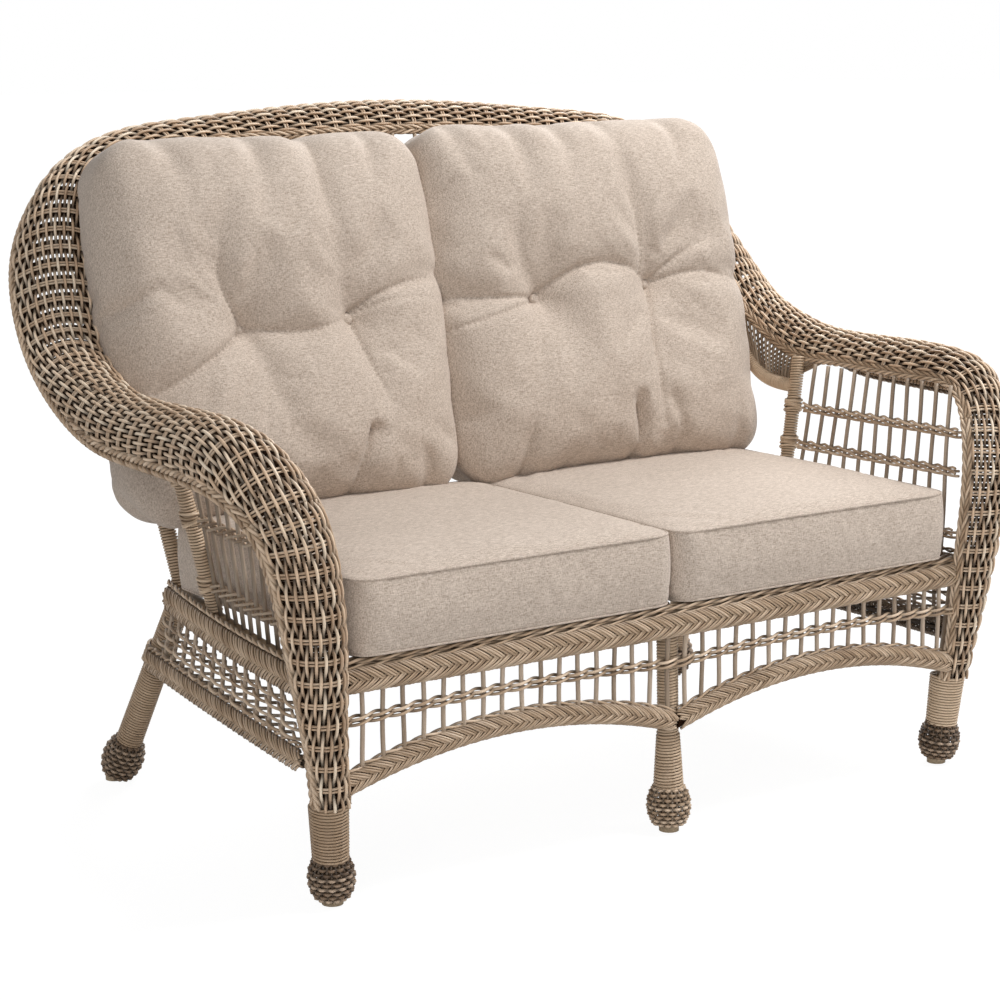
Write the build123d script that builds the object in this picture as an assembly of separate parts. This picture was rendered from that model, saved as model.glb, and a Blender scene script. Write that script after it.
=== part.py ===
from build123d import *
import math
import os

# Patio loveseat with a woven skin, millimetres, Z up, front toward -Y.
# The origin is on the floor, midway between the legs.

# Overall sizes
HALF_WIDTH = 690.0
HALF_DEPTH = 400.0
HEIGHT = 993.0

# Woven band
BAND_THICK = 9.0

# Legs, feet and their wrapping
LEG_R = 17.0
LEG_SLIM_R = 13.0
REAR_LEG_R = 15.5
FRONT_WRAP_RS = (24.5, 27.0)
MID_WRAP_RS = (22.0, 17.0)
REAR_WRAP_RS = (20.5, 18.5)
FOOT_R = 31.0
FOOT_NECK_R = 22.0
FOOT_TOP_Z = 65.0
FOOT_LOW_Z = 9.0
WRAP_TOP_Z = 136.0
WRAP_MID_Z = 140.0
REAR_WRAP_TOP_Z = 300.0
GLIDE_R = 14.0
GLIDE_H = 8.0
CUT_SIZE = 400.0

# Seat frame and slats
FRAME_Z = 303.0
RAIL_R = 11.0
SLAT_R = 6.0
SLAT_COUNT = 7

# Braids, ropes, spokes and rows of the lower panels
BRAID_DEPTH = 22.0
BRAID_H = 42.0
LOW_BRAID_DEPTH = 20.0
LOW_BRAID_H = 34.0
ROPE_R = 4.0
SPOKE_R = 3.2
ROW_R = 2.6
FIT_GAP = 0.1
BRAID_GAP = 0.5
APRON_LOW_Z = 158.0
APRON_RISE = 44.0
ROW_LOW_Z = 244.0
ROW_RISE = 9.0
SIDE_ROW_Z = 240.0
FRONT_SPOKES_HALF = 17
SIDE_SPOKES = 12
EDGE_SAMPLES = 400

# Arm panels and back
ARM_SPOKES = 11
POST_R = 11.0
BACK_POST_R = 12.0
BACK_SPOKES_HALF = 11

# Cushions
SOFT_GAP = 0.4
SEAT_CUSHION_H = 99.0
SEAT_CROWN = 9.0
SEAT_CORNER_R = 28.0
SEAT_EDGE_R = 13.0
SEAT_MID_GAP = 3.0
BACK_CUSHION_H = 512.0
BACK_CUSHION_EDGE_T = 104.0
BACK_CUSHION_CROWN = 22.0
BACK_TOP_CROWN = 22.0
BACK_CORNER_R = 62.0
BACK_EDGE_R = 30.0
BACK_LOW_CORNER_R = 42.0
CROSS_R = 120.0
CROSS_DEPTH = 32.0
CHANNEL_R = 45.0
CHANNEL_DEPTH = 11.0
TUFT_R = 75.0
TUFT_DEPTH = 54.0
BUTTON_R = 10.0
BUTTON_T = 7.0

# Heights that follow from the sizes above
SEAT_Z = FRAME_Z + RAIL_R + 2 * SLAT_R
BRAID_Z = SEAT_Z - 2 * ROPE_R - BRAID_H / 2
PAIR_OFFSET = SPOKE_R + ROW_R + BRAID_GAP

# Shares of the half width, the half depth and the height
BAND_SHARES = (
    ((0.743, -0.830, 0.136), (0.784, -0.895, 0.136), (0.823, -0.805, 0.136)),
    ((0.754, -0.840, 0.201), (0.787, -0.915, 0.201), (0.829, -0.800, 0.201)),
    ((0.759, -0.860, 0.323), (0.806, -0.955, 0.323), (0.861, -0.800, 0.323)),
    ((0.768, -0.875, 0.433), (0.829, -0.970, 0.433), (0.901, -0.815, 0.428)),
    ((0.790, -0.820, 0.534), (0.858, -0.905, 0.539), (0.939, -0.775, 0.504)),
    ((0.812, -0.700, 0.574), (0.870, -0.750, 0.606), (0.957, -0.655, 0.532)),
    ((0.812, -0.525, 0.578), (0.870, -0.530, 0.626), (0.962, -0.520, 0.539)),
    ((0.812, -0.295, 0.578), (0.872, -0.295, 0.628), (0.965, -0.290, 0.542)),
    ((0.816, -0.075, 0.579), (0.881, -0.068, 0.628), (0.970, -0.063, 0.544)),
    ((0.823, 0.150, 0.579), (0.899, 0.165, 0.634), (0.980, 0.175, 0.556)),
    ((0.826, 0.325, 0.600), (0.913, 0.365, 0.653), (0.991, 0.388, 0.592)),
    ((0.814, 0.500, 0.650), (0.910, 0.535, 0.685), (0.993, 0.588, 0.645)),
    ((0.791, 0.655, 0.733), (0.887, 0.680, 0.750), (0.978, 0.780, 0.720)),
    ((0.768, 0.788, 0.818), (0.856, 0.815, 0.836), (0.925, 0.963, 0.803)),
    ((0.729, 0.870, 0.886), (0.806, 0.905, 0.909), (0.832, 1.070, 0.876)),
    ((0.652, 0.900, 0.921), (0.704, 0.955, 0.953), (0.712, 1.120, 0.922)),
    ((0.478, 0.915, 0.939), (0.498, 0.988, 0.978), (0.500, 1.140, 0.955)),
    ((0.232, 0.923, 0.945), (0.239, 1.005, 0.993), (0.240, 1.153, 0.972)),
)
BAND_MID_SHARES = ((0.0, 0.925, 0.948), (0.0, 1.010, 0.999), (0.0, 1.158, 0.978))
LEG_BANDS_SHARE_END = 4
ARM_BANDS_SHARE_END = 9
WING_BANDS_SHARE_END = 14

FRONT_FOOT_SHARES = (0.771, -0.788)
FRONT_LEG_TOP_SHARES = (0.800, -0.841)
MID_FOOT_SHARES = (0.0, -0.835)
MID_LEG_TOP_SHARES = (0.0, -0.815)
REAR_FOOT_SHARES = (0.770, 0.830)
REAR_TOP_SHARES = (0.683, 0.513)
SIDE_MID_SHARES = (0.757, -0.150)
APRON_END_SHARES = (0.768, -0.855)
APRON_MID_SHARES = (0.0, -0.868)
LOW_SIDE_SHARES = ((0.829, -0.755, 0.197), (0.800, -0.090, 0.204), (0.745, 0.600, 0.203))
ARM_POST_TOP_SHARES = (0.820, 0.135, 0.586)
ARM_POST_LOW_SHARE = 0.075
WINDOW_TUBE_SHARE = 0.83
WINDOW_TUBE_SHARES = ((0.815, 0.370, 0.552), (0.816, 0.540, 0.634))
BACK_POST_TOP_SHARES = (0.772, 0.818)
ARM_ROW_SHARES = (0.355, 0.449, 0.508)
ARM_PANEL_SHARES = (-0.735, 0.015)
ARM_ROW_START_SHARE = -0.790
SIDE_ROW_SHARES = (-0.770, 0.510)
BACK_ROW_SHARES = (0.45, 0.64, 0.82)
BACK_SPREAD_SHARE = 0.652
SEAT_CUSHION_SHARES = ((0.742, -0.875), (0.700, 0.385))
BACK_CUSHION_SHARE = 0.774
BUTTON_X_SHARES = (0.325, 0.675)
BUTTON_Z_SHARE = 0.545


def place(share):
    """Turn shares of the half width, half depth and height into a point."""
    return Vector(HALF_WIDTH * share[0], HALF_DEPTH * share[1], HEIGHT * share[2])


def floor_point(share, z):
    """Turn shares of the half width and half depth into a point at one height."""
    return Vector(HALF_WIDTH * share[0], HALF_DEPTH * share[1], z)


def between(start, end, share):
    """The point part of the way from start to end."""
    return start + (end - start) * share


def mirrored(shape):
    """The same piece on the other side of the seat."""
    solids = [solid.mirror(Plane.YZ) for solid in shape.solids()]
    if len(solids) == 1:
        return solids[0]
    return Compound(children=solids)


def rod(start, end, radius):
    """A straight round rod between two points."""
    axis = end - start
    plane = Plane(origin=start, z_dir=axis.normalized())
    return Solid.make_cylinder(radius, axis.length, plane)


def taper_rod(start, end, start_radius, end_radius):
    """A straight round rod that changes its radius along its length."""
    axis = end - start
    plane = Plane(origin=start, z_dir=axis.normalized())
    return Solid.make_cone(start_radius, end_radius, axis.length, plane)


def arc_rod(start, middle, end, radius):
    """A round rod bent to the arc through three points."""
    path = Edge.make_three_point_arc(start, middle, end)
    section = Plane(origin=path @ 0, z_dir=path % 0) * Circle(radius)
    return sweep(section, path=path).solid()


def arc_braid(start, middle, end, depth, height):
    """An oval bar, upright in section, bent to the arc through three points."""
    path = Edge.make_three_point_arc(start, middle, end)
    tangent = path % 0
    side = tangent.cross(Vector(0, 0, 1)).normalized()
    plane = Plane(origin=path @ 0, x_dir=side, z_dir=tangent)
    section = plane * Ellipse(depth / 2, height / 2)
    return sweep(section, path=path).solid()


def cut(piece, tools):
    """Remove the neighbours from a piece so that both only touch."""
    for tool in tools:
        piece = piece - tool
    return piece


def as_compound(shapes):
    """Gather loose solids of one node."""
    solids = []
    for shape in shapes:
        solids.extend(shape.solids())
    return Compound(children=solids)


# Woven band: one curved shell in lengths that share their end sections

def band_section(inner, ridge, outer):
    """A curved strip section through the inner edge, the ridge and the outer edge."""
    skin = Edge.make_three_point_arc(inner, ridge, outer)
    centre = skin.arc_center
    scale = (skin.radius - BAND_THICK) / skin.radius
    low = [between(centre, point, scale) for point in (inner, ridge, outer)]
    lining = Edge.make_three_point_arc(low[2], low[1], low[0])
    end = Edge.make_line(outer, low[2])
    start = Edge.make_line(low[0], inner)
    return Wire([skin, end, lining, start])


def station(index):
    """The three points of one band section."""
    rows = BAND_SHARES + (BAND_MID_SHARES,)
    count = len(rows)
    if index < count:
        return [place(share) for share in rows[index]]
    row = rows[count - 2 - (index - count)]
    points = [place(share) for share in row]
    return [Vector(-point.X, point.Y, point.Z) for point in points]


def band_length(first, last):
    """A length of the band between two of its sections."""
    sections = [band_section(*station(index)) for index in range(first, last + 1)]
    return Solid.make_loft(sections)


# Legs

def leg_axis(foot_share, top_share, top_z):
    """The two ends of a leg tube."""
    return floor_point(foot_share, 0), floor_point(top_share, top_z)


def at_height(axis, z):
    """The point of a leg line at one height."""
    share = (z - axis[0].Z) / (axis[1].Z - axis[0].Z)
    return between(axis[0], axis[1], share)


def above(piece, z):
    """Keep the part of a piece that lies above one height."""
    drop = Solid.make_box(CUT_SIZE, CUT_SIZE, CUT_SIZE)
    centre = piece.bounding_box().center()
    corner = Vector(centre.X - CUT_SIZE / 2, centre.Y - CUT_SIZE / 2, z - CUT_SIZE)
    return piece - drop.moved(Location(corner))


def leg_tube(axis, radius, top):
    """The straight tube of a leg, flat where it meets its glide."""
    return above(rod(axis[0], top, radius), GLIDE_H).solid()


def leg_wrap(axis, radius, skin_radii, top_z):
    """The fine wrapping between the woven foot and the panel above."""
    low = at_height(axis, FOOT_TOP_Z)
    high = at_height(axis, top_z)
    skin = taper_rod(low, high, skin_radii[0], skin_radii[1])
    return (skin - rod(axis[0], at_height(axis, top_z + FOOT_R), radius)).solid()


def woven_foot(axis, radius):
    """The ball of weave over the end of a leg."""
    low = at_height(axis, FOOT_LOW_Z)
    high = at_height(axis, FOOT_TOP_Z)
    length = (high - low).length
    plane = Plane(origin=low, x_dir=Vector(0, 1, 0).cross(high - low), z_dir=high - low)
    belly = Edge.make_three_point_arc(
        plane.from_local_coords(Vector(FOOT_NECK_R, 0, 0)),
        plane.from_local_coords(Vector(FOOT_R, 0, length / 2)),
        plane.from_local_coords(Vector(FOOT_NECK_R, 0, length)),
    )
    top_in = plane.from_local_coords(Vector(radius, 0, length))
    low_in = plane.from_local_coords(Vector(radius, 0, 0))
    top = Edge.make_line(belly @ 1, top_in)
    bore = Edge.make_line(top_in, low_in)
    base = Edge.make_line(low_in, belly @ 0)
    face = Face(Wire([belly, top, bore, base]))
    return Solid.revolve(face, 360, Axis(low, high - low))


def glide(axis):
    """The small foot that stands on the floor."""
    centre = at_height(axis, 0)
    return Solid.make_cylinder(GLIDE_R, GLIDE_H, Plane(origin=centre, z_dir=Vector(0, 0, 1)))


# Seat frame

def bowed(points, y):
    """The point at one depth on the bowed line through three points."""
    front, middle, rear = points
    share = (y - front.Y) / (rear.Y - front.Y)
    bend = (middle.Y - front.Y) / (rear.Y - front.Y)
    straight = between(front, rear, share)
    lift = middle - between(front, rear, bend)
    return straight + lift * (share * (1 - share) / (bend * (1 - bend)))


def side_rail_points():
    """The line of one side rail, front to rear."""
    front = floor_point(FRONT_LEG_TOP_SHARES, FRAME_Z)
    middle = floor_point(SIDE_MID_SHARES, FRAME_Z)
    rear = floor_point(REAR_TOP_SHARES, FRAME_Z)
    return front, middle, rear


def side_braid_points():
    """The centre line of the upper braid of one side."""
    rail = side_rail_points()
    outward = (rail[2] - rail[0]).cross(Vector(0, 0, 1)).normalized()
    shift = outward * (RAIL_R + BRAID_DEPTH / 2 + BRAID_GAP) + Vector(0, 0, BRAID_Z - FRAME_Z)
    return [point + shift for point in rail]


def low_side_points():
    """The centre line of the lower braid of one side."""
    return [place(share) for share in LOW_SIDE_SHARES]


def apron_y(x):
    """How far forward the front panel lies at one place across."""
    end = floor_point(APRON_END_SHARES, 0)
    middle = floor_point(APRON_MID_SHARES, 0)
    return middle.Y + (end.Y - middle.Y) * (x / end.X) ** 2


def swag(x):
    """Share of the full rise of the scallops at one place across."""
    share = x / floor_point(APRON_END_SHARES, 0).X
    return 4 * share * (1 - share)


def low_z(x):
    """Height of the scalloped lower braid at one place across."""
    return APRON_LOW_Z + APRON_RISE * swag(x)


def front_span(z, offset, start_x, end_x):
    """Three points across the front panel at one height."""
    middle_x = (start_x + end_x) / 2
    return [Vector(x, apron_y(x) + offset, z) for x in (start_x, middle_x, end_x)]


def scallop_span(height_at, offset):
    """Three points along one half of a scalloped line, from just past the middle."""
    end_x = floor_point(APRON_END_SHARES, 0).X
    spots = (-LOW_BRAID_H / 2, end_x / 2, end_x + BAND_THICK)
    return [Vector(x, apron_y(x) + offset, height_at(x)) for x in spots]


def halved(shape):
    """The part of a shape on the right of the middle plane."""
    corner = Vector(0, -CUT_SIZE * 2, 0)
    keep = Solid.make_box(CUT_SIZE * 2, CUT_SIZE * 4, CUT_SIZE * 2).moved(Location(corner))
    return (shape & keep).solids().sort_by(SortBy.VOLUME)[-1]


def row_z(x):
    """Height of the middle row of the front panel at one place across."""
    return ROW_LOW_Z + ROW_RISE * swag(x)


def front_bar(z, offset, reach, radius):
    """A round bar along the front panel that turns slightly at the middle."""
    middle = Vector(0, apron_y(0) + offset, z)
    end = Vector(reach, apron_y(reach) + offset, z)
    half = halved(rod(between(middle, end, -radius / reach), end, radius))
    return (half + mirrored(half)).solids().sort_by(SortBy.VOLUME)[-1]


def front_rail(reach):
    """The front tube of the seat frame."""
    return front_bar(FRAME_Z, BRAID_DEPTH / 2 + RAIL_R + FIT_GAP, reach, RAIL_R)


def slats(front_y, rear_y):
    """The bars that carry the seat cushions."""
    reach = place(BAND_SHARES[0][0]).X - LEG_R - RAIL_R
    bars = []
    for index in range(SLAT_COUNT):
        x = -reach + 2 * reach * (index + 1) / (SLAT_COUNT + 1)
        z = FRAME_Z + RAIL_R + SLAT_R
        bars.append(rod(Vector(x, front_y, z), Vector(x, rear_y, z), SLAT_R))
    return as_compound(bars)


# Front panel

def front_spokes():
    """The upright spokes of the front panel, from braid to braid."""
    end = floor_point(APRON_END_SHARES, 0)
    pitch = end.X / (FRONT_SPOKES_HALF + 1 / 2)
    spokes = []
    for index in range(FRONT_SPOKES_HALF):
        x = pitch * (index + 1 / 2)
        slope = abs(low_z(x + SPOKE_R) - low_z(x - SPOKE_R)) / 2
        low_half = LOW_BRAID_H / 2 * math.hypot(1, slope / SPOKE_R)
        low = Vector(x, apron_y(x), low_z(x) + low_half + slope + BRAID_GAP)
        top = Vector(x, apron_y(x), BRAID_Z - BRAID_H / 2 - FIT_GAP)
        spoke = rod(low, top, SPOKE_R)
        spokes.extend((spoke, mirrored(spoke)))
    return as_compound(spokes)


def front_rows():
    """The strands of the middle row on the right, before and behind the spokes."""
    return [arc_rod(*scallop_span(row_z, offset), ROW_R) for offset in (-PAIR_OFFSET, PAIR_OFFSET)]


# Side panels

def side_spokes():
    """The upright spokes of one side panel, from braid to braid."""
    top_line = side_braid_points()
    low_line = low_side_points()
    start = low_line[0].Y
    end = top_line[2].Y
    spokes = []
    for index in range(SIDE_SPOKES):
        y = start + (end - start) * (index + 1) / (SIDE_SPOKES + 1)
        low = bowed(low_line, y) + Vector(0, 0, LOW_BRAID_H / 2 + 2 * BRAID_GAP)
        top = bowed(top_line, y) - Vector(0, 0, BRAID_H / 2 + 2 * BRAID_GAP)
        spokes.append(rod(low, top, SPOKE_R))
    return as_compound(spokes)


def side_row_point(y, offset):
    """A point of the middle row of one side panel."""
    low = bowed(low_side_points(), y) + Vector(0, 0, LOW_BRAID_H / 2)
    top = bowed(side_braid_points(), y) - Vector(0, 0, BRAID_H / 2)
    share = (SIDE_ROW_Z - low.Z) / (top.Z - low.Z)
    return between(low, top, share) + Vector(offset, 0, 0)


def side_rows():
    """The two strands of the middle row of one side panel."""
    start, end = (HALF_DEPTH * share for share in SIDE_ROW_SHARES)
    rows = []
    reach = PAIR_OFFSET + FIT_GAP
    for offset in (-reach, reach):
        points = [side_row_point(y, offset) for y in (start, (start + end) / 2, end)]
        rows.append(arc_rod(*points, ROW_R))
    return rows


# Arm panels

def inner_edge(first, last):
    """Points along the inner edge of the woven band between two of its sections."""
    rows = BAND_SHARES + (BAND_MID_SHARES,)
    edge = Edge.make_spline([place(row[0]) for row in rows[first:last + 1]])
    return [edge @ (index / EDGE_SAMPLES) for index in range(EDGE_SAMPLES + 1)]


ARM_EDGE = inner_edge(LEG_BANDS_SHARE_END, ARM_BANDS_SHARE_END)
BACK_EDGE = inner_edge(WING_BANDS_SHARE_END, len(BAND_SHARES))


def panel_point(y, z):
    """A point of the leaning arm panel."""
    low = bowed(side_rail_points(), y)
    top = place(BAND_SHARES[(LEG_BANDS_SHARE_END + ARM_BANDS_SHARE_END) // 2][0])
    share = (z - FRAME_Z) / (top.Z - FRAME_Z)
    return Vector(low.X + (top.X - low.X) * share, y, z)


def arm_spokes(tools):
    """The upright spokes of one arm panel."""
    start = HALF_DEPTH * ARM_PANEL_SHARES[0]
    end = HALF_DEPTH * ARM_PANEL_SHARES[1]
    spokes = []
    for index in range(ARM_SPOKES):
        y = start + (end - start) * index / (ARM_SPOKES - 1)
        top = min(ARM_EDGE, key=lambda point: abs(point.Y - y))
        foot_z = FRAME_Z + RAIL_R + FIT_GAP
        spokes.append(rod(panel_point(y, foot_z), panel_point(y, top.Z + BAND_THICK / 2), SPOKE_R))
    return as_compound([cut(as_compound(spokes), tools)])


def arm_rows(rear_y):
    """The twisted rows across one arm panel, two strands each."""
    start = HALF_DEPTH * ARM_ROW_START_SHARE
    rows = []
    for row_share in ARM_ROW_SHARES:
        z = HEIGHT * row_share
        for offset in (-PAIR_OFFSET, PAIR_OFFSET):
            points = []
            end = rear_y - POST_R - BRAID_GAP
            for y in (start, (start + end) / 2, end):
                points.append(panel_point(y, z) + Vector(offset, 0, 0))
            rows.append(arc_rod(*points, ROW_R))
    return rows


def arm_post():
    """The wrapped post at the rear of one arm panel."""
    y = HALF_DEPTH * ARM_POST_LOW_SHARE
    return rod(bowed(side_rail_points(), y), place(ARM_POST_TOP_SHARES), POST_R)


# Back panel

def back_slope():
    """How far the back leans for each millimetre of height."""
    rear = floor_point(REAR_TOP_SHARES, FRAME_Z)
    crest = place(BAND_MID_SHARES[0])
    return (crest.Y + BAND_THICK / 2 - rear.Y) / (crest.Z - rear.Z)


def back_spot(x, z):
    """A point of the flat leaning back."""
    rear = floor_point(REAR_TOP_SHARES, FRAME_Z)
    return Vector(x, rear.Y + back_slope() * (z - rear.Z), z)


def back_top(x):
    """Where a back spoke meets the woven band."""
    point = min(BACK_EDGE, key=lambda spot: abs(spot.X - abs(x)))
    return back_spot(x, point.Z + BAND_THICK / 2)


def post_top():
    """Where a back post meets the woven band."""
    return back_spot(HALF_WIDTH * BACK_POST_TOP_SHARES[0], HEIGHT * BACK_POST_TOP_SHARES[1])


def back_spokes(tools):
    """The upright spokes of the back."""
    reach = HALF_WIDTH * BACK_SPREAD_SHARE
    spokes = []
    for index in range(-BACK_SPOKES_HALF, BACK_SPOKES_HALF + 1):
        x = reach * index / BACK_SPOKES_HALF
        start = back_spot(x, FRAME_Z + RAIL_R / 2)
        spokes.append(rod(start, back_top(x), SPOKE_R))
    return as_compound([cut(as_compound(spokes), tools)])


def back_rows():
    """The twisted rows across the back, two strands each."""
    reach = HALF_WIDTH * BACK_POST_TOP_SHARES[0]
    rows = []
    for row_share in BACK_ROW_SHARES:
        z = HEIGHT * row_share
        for offset in (-PAIR_OFFSET, PAIR_OFFSET):
            middle = back_spot(0, z) + Vector(0, offset, 0)
            side = Vector(reach, 0, 0)
            rows.append(rod(middle - side, middle + side, ROW_R))
    return rows


# Cushions

def dome(plane, width, length, base, rise, inset):
    """A shallow cap of a ball over the middle of a face."""
    reach = min(width, length) / 2 - inset
    radius = (reach ** 2 + rise ** 2) / (2 * rise)
    ball = Solid.make_sphere(radius, plane.offset(base + rise - radius), -90, 90, 360)
    field = Rectangle(width - 2 * inset, length - 2 * inset)
    keep = extrude(plane.offset(base - rise) * field, 3 * rise)
    return ball & keep


def seat_cushion():
    """A box cushion with a crowned top, narrower toward the back."""
    front = floor_point(SEAT_CUSHION_SHARES[0], 0)
    rear = floor_point(SEAT_CUSHION_SHARES[1], 0)
    inner_x = SEAT_MID_GAP / 2
    corners = ((inner_x, front.Y), (front.X, front.Y), (rear.X, rear.Y), (inner_x, rear.Y))
    base = Plane.XY.offset(SEAT_Z + SOFT_GAP)
    block = extrude(base * make_face(Polyline(*corners, close=True)), SEAT_CUSHION_H)
    block = fillet(block.edges().filter_by(Axis.Z), SEAT_CORNER_R)
    levels = block.faces().sort_by(Axis.Z)
    block = fillet(levels[0].edges() + levels[-1].edges(), SEAT_EDGE_R)
    middle = Vector((inner_x + rear.X) / 2, (front.Y + rear.Y) / 2, base.origin.Z)
    width = rear.X - inner_x
    length = rear.Y - front.Y
    inset = SEAT_EDGE_R + SEAT_CROWN / 2
    crown = dome(Plane(origin=middle), width, length, SEAT_CUSHION_H, SEAT_CROWN, inset)
    return (block + crown).solid()


def back_cushion_blank(width):
    """The plain padded block of a back cushion, standing at the origin."""
    half = width / 2
    side_h = BACK_CUSHION_H - BACK_TOP_CROWN
    sides = Polyline((-half, side_h), (-half, 0), (half, 0), (half, side_h))
    top = ThreePointArc((half, side_h), (0, BACK_CUSHION_H), (-half, side_h))
    face = Plane(origin=(0, 0, 0), x_dir=(1, 0, 0), z_dir=(0, -1, 0))
    block = extrude(face * make_face([sides, top]), BACK_CUSHION_EDGE_T)
    block = fillet(block.edges().filter_by(Axis.Y).sort_by(Axis.Z)[-2:], BACK_CORNER_R)
    block = fillet(block.edges().filter_by(Axis.Y).sort_by(Axis.Z)[:2], BACK_LOW_CORNER_R)
    faces = block.faces().sort_by(Axis.Y)
    block = fillet(faces[0].edges() + faces[-1].edges(), BACK_EDGE_R)
    middle = Plane(origin=(0, 0, BACK_CUSHION_H / 2), x_dir=(1, 0, 0), z_dir=(0, -1, 0))
    inset = BACK_EDGE_R / 2
    crown = dome(middle, width, BACK_CUSHION_H, BACK_CUSHION_EDGE_T, BACK_CUSHION_CROWN, inset)
    return block + crown


def back_cushion_width():
    """Width of one back cushion."""
    return HALF_WIDTH * BACK_CUSHION_SHARE - SEAT_MID_GAP / 2


def button_places():
    """Where the buttons sit on a back cushion that stands at the origin."""
    width = back_cushion_width()
    face_y = -(BACK_CUSHION_EDGE_T + BACK_CUSHION_CROWN)
    z = BACK_CUSHION_H * BUTTON_Z_SHARE
    return [Vector(width * (share - 1 / 2), face_y, z) for share in BUTTON_X_SHARES]


def back_cushion():
    """A tufted cushion with creases that run through its two buttons."""
    width = back_cushion_width()
    block = back_cushion_blank(width)
    spot = button_places()[0]
    across = Plane(origin=(-width / 2, spot.Y - CROSS_R + CROSS_DEPTH, spot.Z), z_dir=(1, 0, 0))
    block = block - Solid.make_cylinder(CROSS_R, width, across)
    for spot in button_places():
        upright = Plane(origin=(spot.X, spot.Y - CHANNEL_R + CHANNEL_DEPTH, 0), z_dir=(0, 0, 1))
        tuft = Plane(origin=(spot.X, spot.Y - TUFT_R + TUFT_DEPTH, spot.Z))
        block = block - Solid.make_cylinder(CHANNEL_R, BACK_CUSHION_H, upright)
        block = block - Solid.make_sphere(TUFT_R, tuft, -90, 90, 360)
    return block.solid()


def button(spot):
    """One covered button in its tuft."""
    sag = BUTTON_R ** 2 / (2 * TUFT_R)
    base = Plane(origin=(spot.X, spot.Y + TUFT_DEPTH - sag - FIT_GAP, spot.Z), z_dir=(0, -1, 0))
    disc = Solid.make_cylinder(BUTTON_R, BUTTON_T, base)
    return fillet(disc.edges().sort_by(Axis.Y)[0], BUTTON_T / 2).solid()


def back_place():
    """Where a back cushion stands: leaning on the back, on the rim of the seat cushion."""
    foot = back_spot(0, FRAME_Z)
    slope = back_slope()
    lean = math.atan(slope)
    rim_y = floor_point(SEAT_CUSHION_SHARES[1], 0).Y - SEAT_EDGE_R
    rim_z = SEAT_Z + 2 * SOFT_GAP + SEAT_CUSHION_H + SEAT_EDGE_R * (1 / math.cos(lean) - 1)
    clear = (max(PAIR_OFFSET + ROW_R, BACK_POST_R) + SOFT_GAP) / math.cos(lean)
    back_y = foot.Y - clear
    z = (rim_z + slope * (rim_y - back_y + slope * foot.Z)) / (1 + slope ** 2)
    x = SEAT_MID_GAP / 2 + back_cushion_width() / 2
    return Location((x, back_y + slope * (z - foot.Z), z), (-math.degrees(lean), 0, 0))


# Build every piece on the right, then its mirror on the left

os.makedirs("parts", exist_ok=True)
parts = {}


def add(name, shape):
    """Keep one named piece."""
    parts[name] = shape


def add_pair(name, shape):
    """Keep a piece and its mirror."""
    add(name + "_right", shape)
    add(name + "_left", mirrored(shape))


front_axis = leg_axis(FRONT_FOOT_SHARES, FRONT_LEG_TOP_SHARES, FRAME_Z)
mid_axis = leg_axis(MID_FOOT_SHARES, MID_LEG_TOP_SHARES, FRAME_Z)
rear_axis = leg_axis(REAR_FOOT_SHARES, REAR_TOP_SHARES, FRAME_Z)

front_leg = leg_tube(front_axis, LEG_R, at_height(front_axis, FRAME_Z + RAIL_R))
rear_leg = leg_tube(rear_axis, REAR_LEG_R, at_height(rear_axis, FRAME_Z + RAIL_R))
front_wrap = leg_wrap(front_axis, LEG_R, FRONT_WRAP_RS, WRAP_TOP_Z)
rear_wrap = leg_wrap(rear_axis, REAR_LEG_R, REAR_WRAP_RS, REAR_WRAP_TOP_Z)
mid_wrap = leg_wrap(mid_axis, LEG_SLIM_R, MID_WRAP_RS, WRAP_MID_Z)
front_foot = woven_foot(front_axis, LEG_R)
rear_foot = woven_foot(rear_axis, REAR_LEG_R)
mid_foot = woven_foot(mid_axis, LEG_SLIM_R)

rail_reach = floor_point(FRONT_LEG_TOP_SHARES, 0).X - LEG_SLIM_R
rail_front = cut(front_rail(rail_reach), (front_leg, mirrored(front_leg)))
rail_front = rail_front.solids().sort_by(SortBy.VOLUME)[-1]
mid_leg = cut(leg_tube(mid_axis, LEG_SLIM_R, mid_axis[1]), (rail_front,)).solid()

rail_side = cut(arc_rod(*side_rail_points(), RAIL_R), (front_leg, rear_leg, rail_front))
rail_side = rail_side.solids().sort_by(SortBy.VOLUME)[-1]
rear_right = rear_axis[1]
rear_left = Vector(-rear_right.X, rear_right.Y, rear_right.Z)
rear_rail = rod(rear_left, rear_right, RAIL_R)
rear_tools = (rear_leg, mirrored(rear_leg), rail_side, mirrored(rail_side))
rail_back = cut(rear_rail, rear_tools).solids().sort_by(SortBy.VOLUME)[-1]

end_station = 2 * len(BAND_SHARES)
leg_band = cut(band_length(0, LEG_BANDS_SHARE_END), (front_leg, front_wrap, rail_side))
leg_band = leg_band.solids().sort_by(SortBy.VOLUME)[-1]
arm_band = band_length(LEG_BANDS_SHARE_END, ARM_BANDS_SHARE_END)
wing_band = band_length(ARM_BANDS_SHARE_END, WING_BANDS_SHARE_END)
top_band = band_length(WING_BANDS_SHARE_END, end_station - WING_BANDS_SHARE_END)

post_arm = cut(arm_post(), (rail_side, arm_band, wing_band)).solids().sort_by(SortBy.VOLUME)[-1]
back_post = rod(rear_axis[1], post_top(), BACK_POST_R)
post_back = cut(back_post, (rear_leg, rail_side, rail_back, wing_band, top_band))
post_back = post_back.solids().sort_by(SortBy.VOLUME)[-1]
post_foot = bowed(side_rail_points(), HALF_DEPTH * ARM_POST_LOW_SHARE)
window_points = [between(post_foot, place(ARM_POST_TOP_SHARES), WINDOW_TUBE_SHARE)]
window_points.extend(place(share) for share in WINDOW_TUBE_SHARES)
window_tube = cut(arc_rod(*window_points, POST_R), (post_arm, wing_band))
window_tube = window_tube.solids().sort_by(SortBy.VOLUME)[-1]

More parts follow.
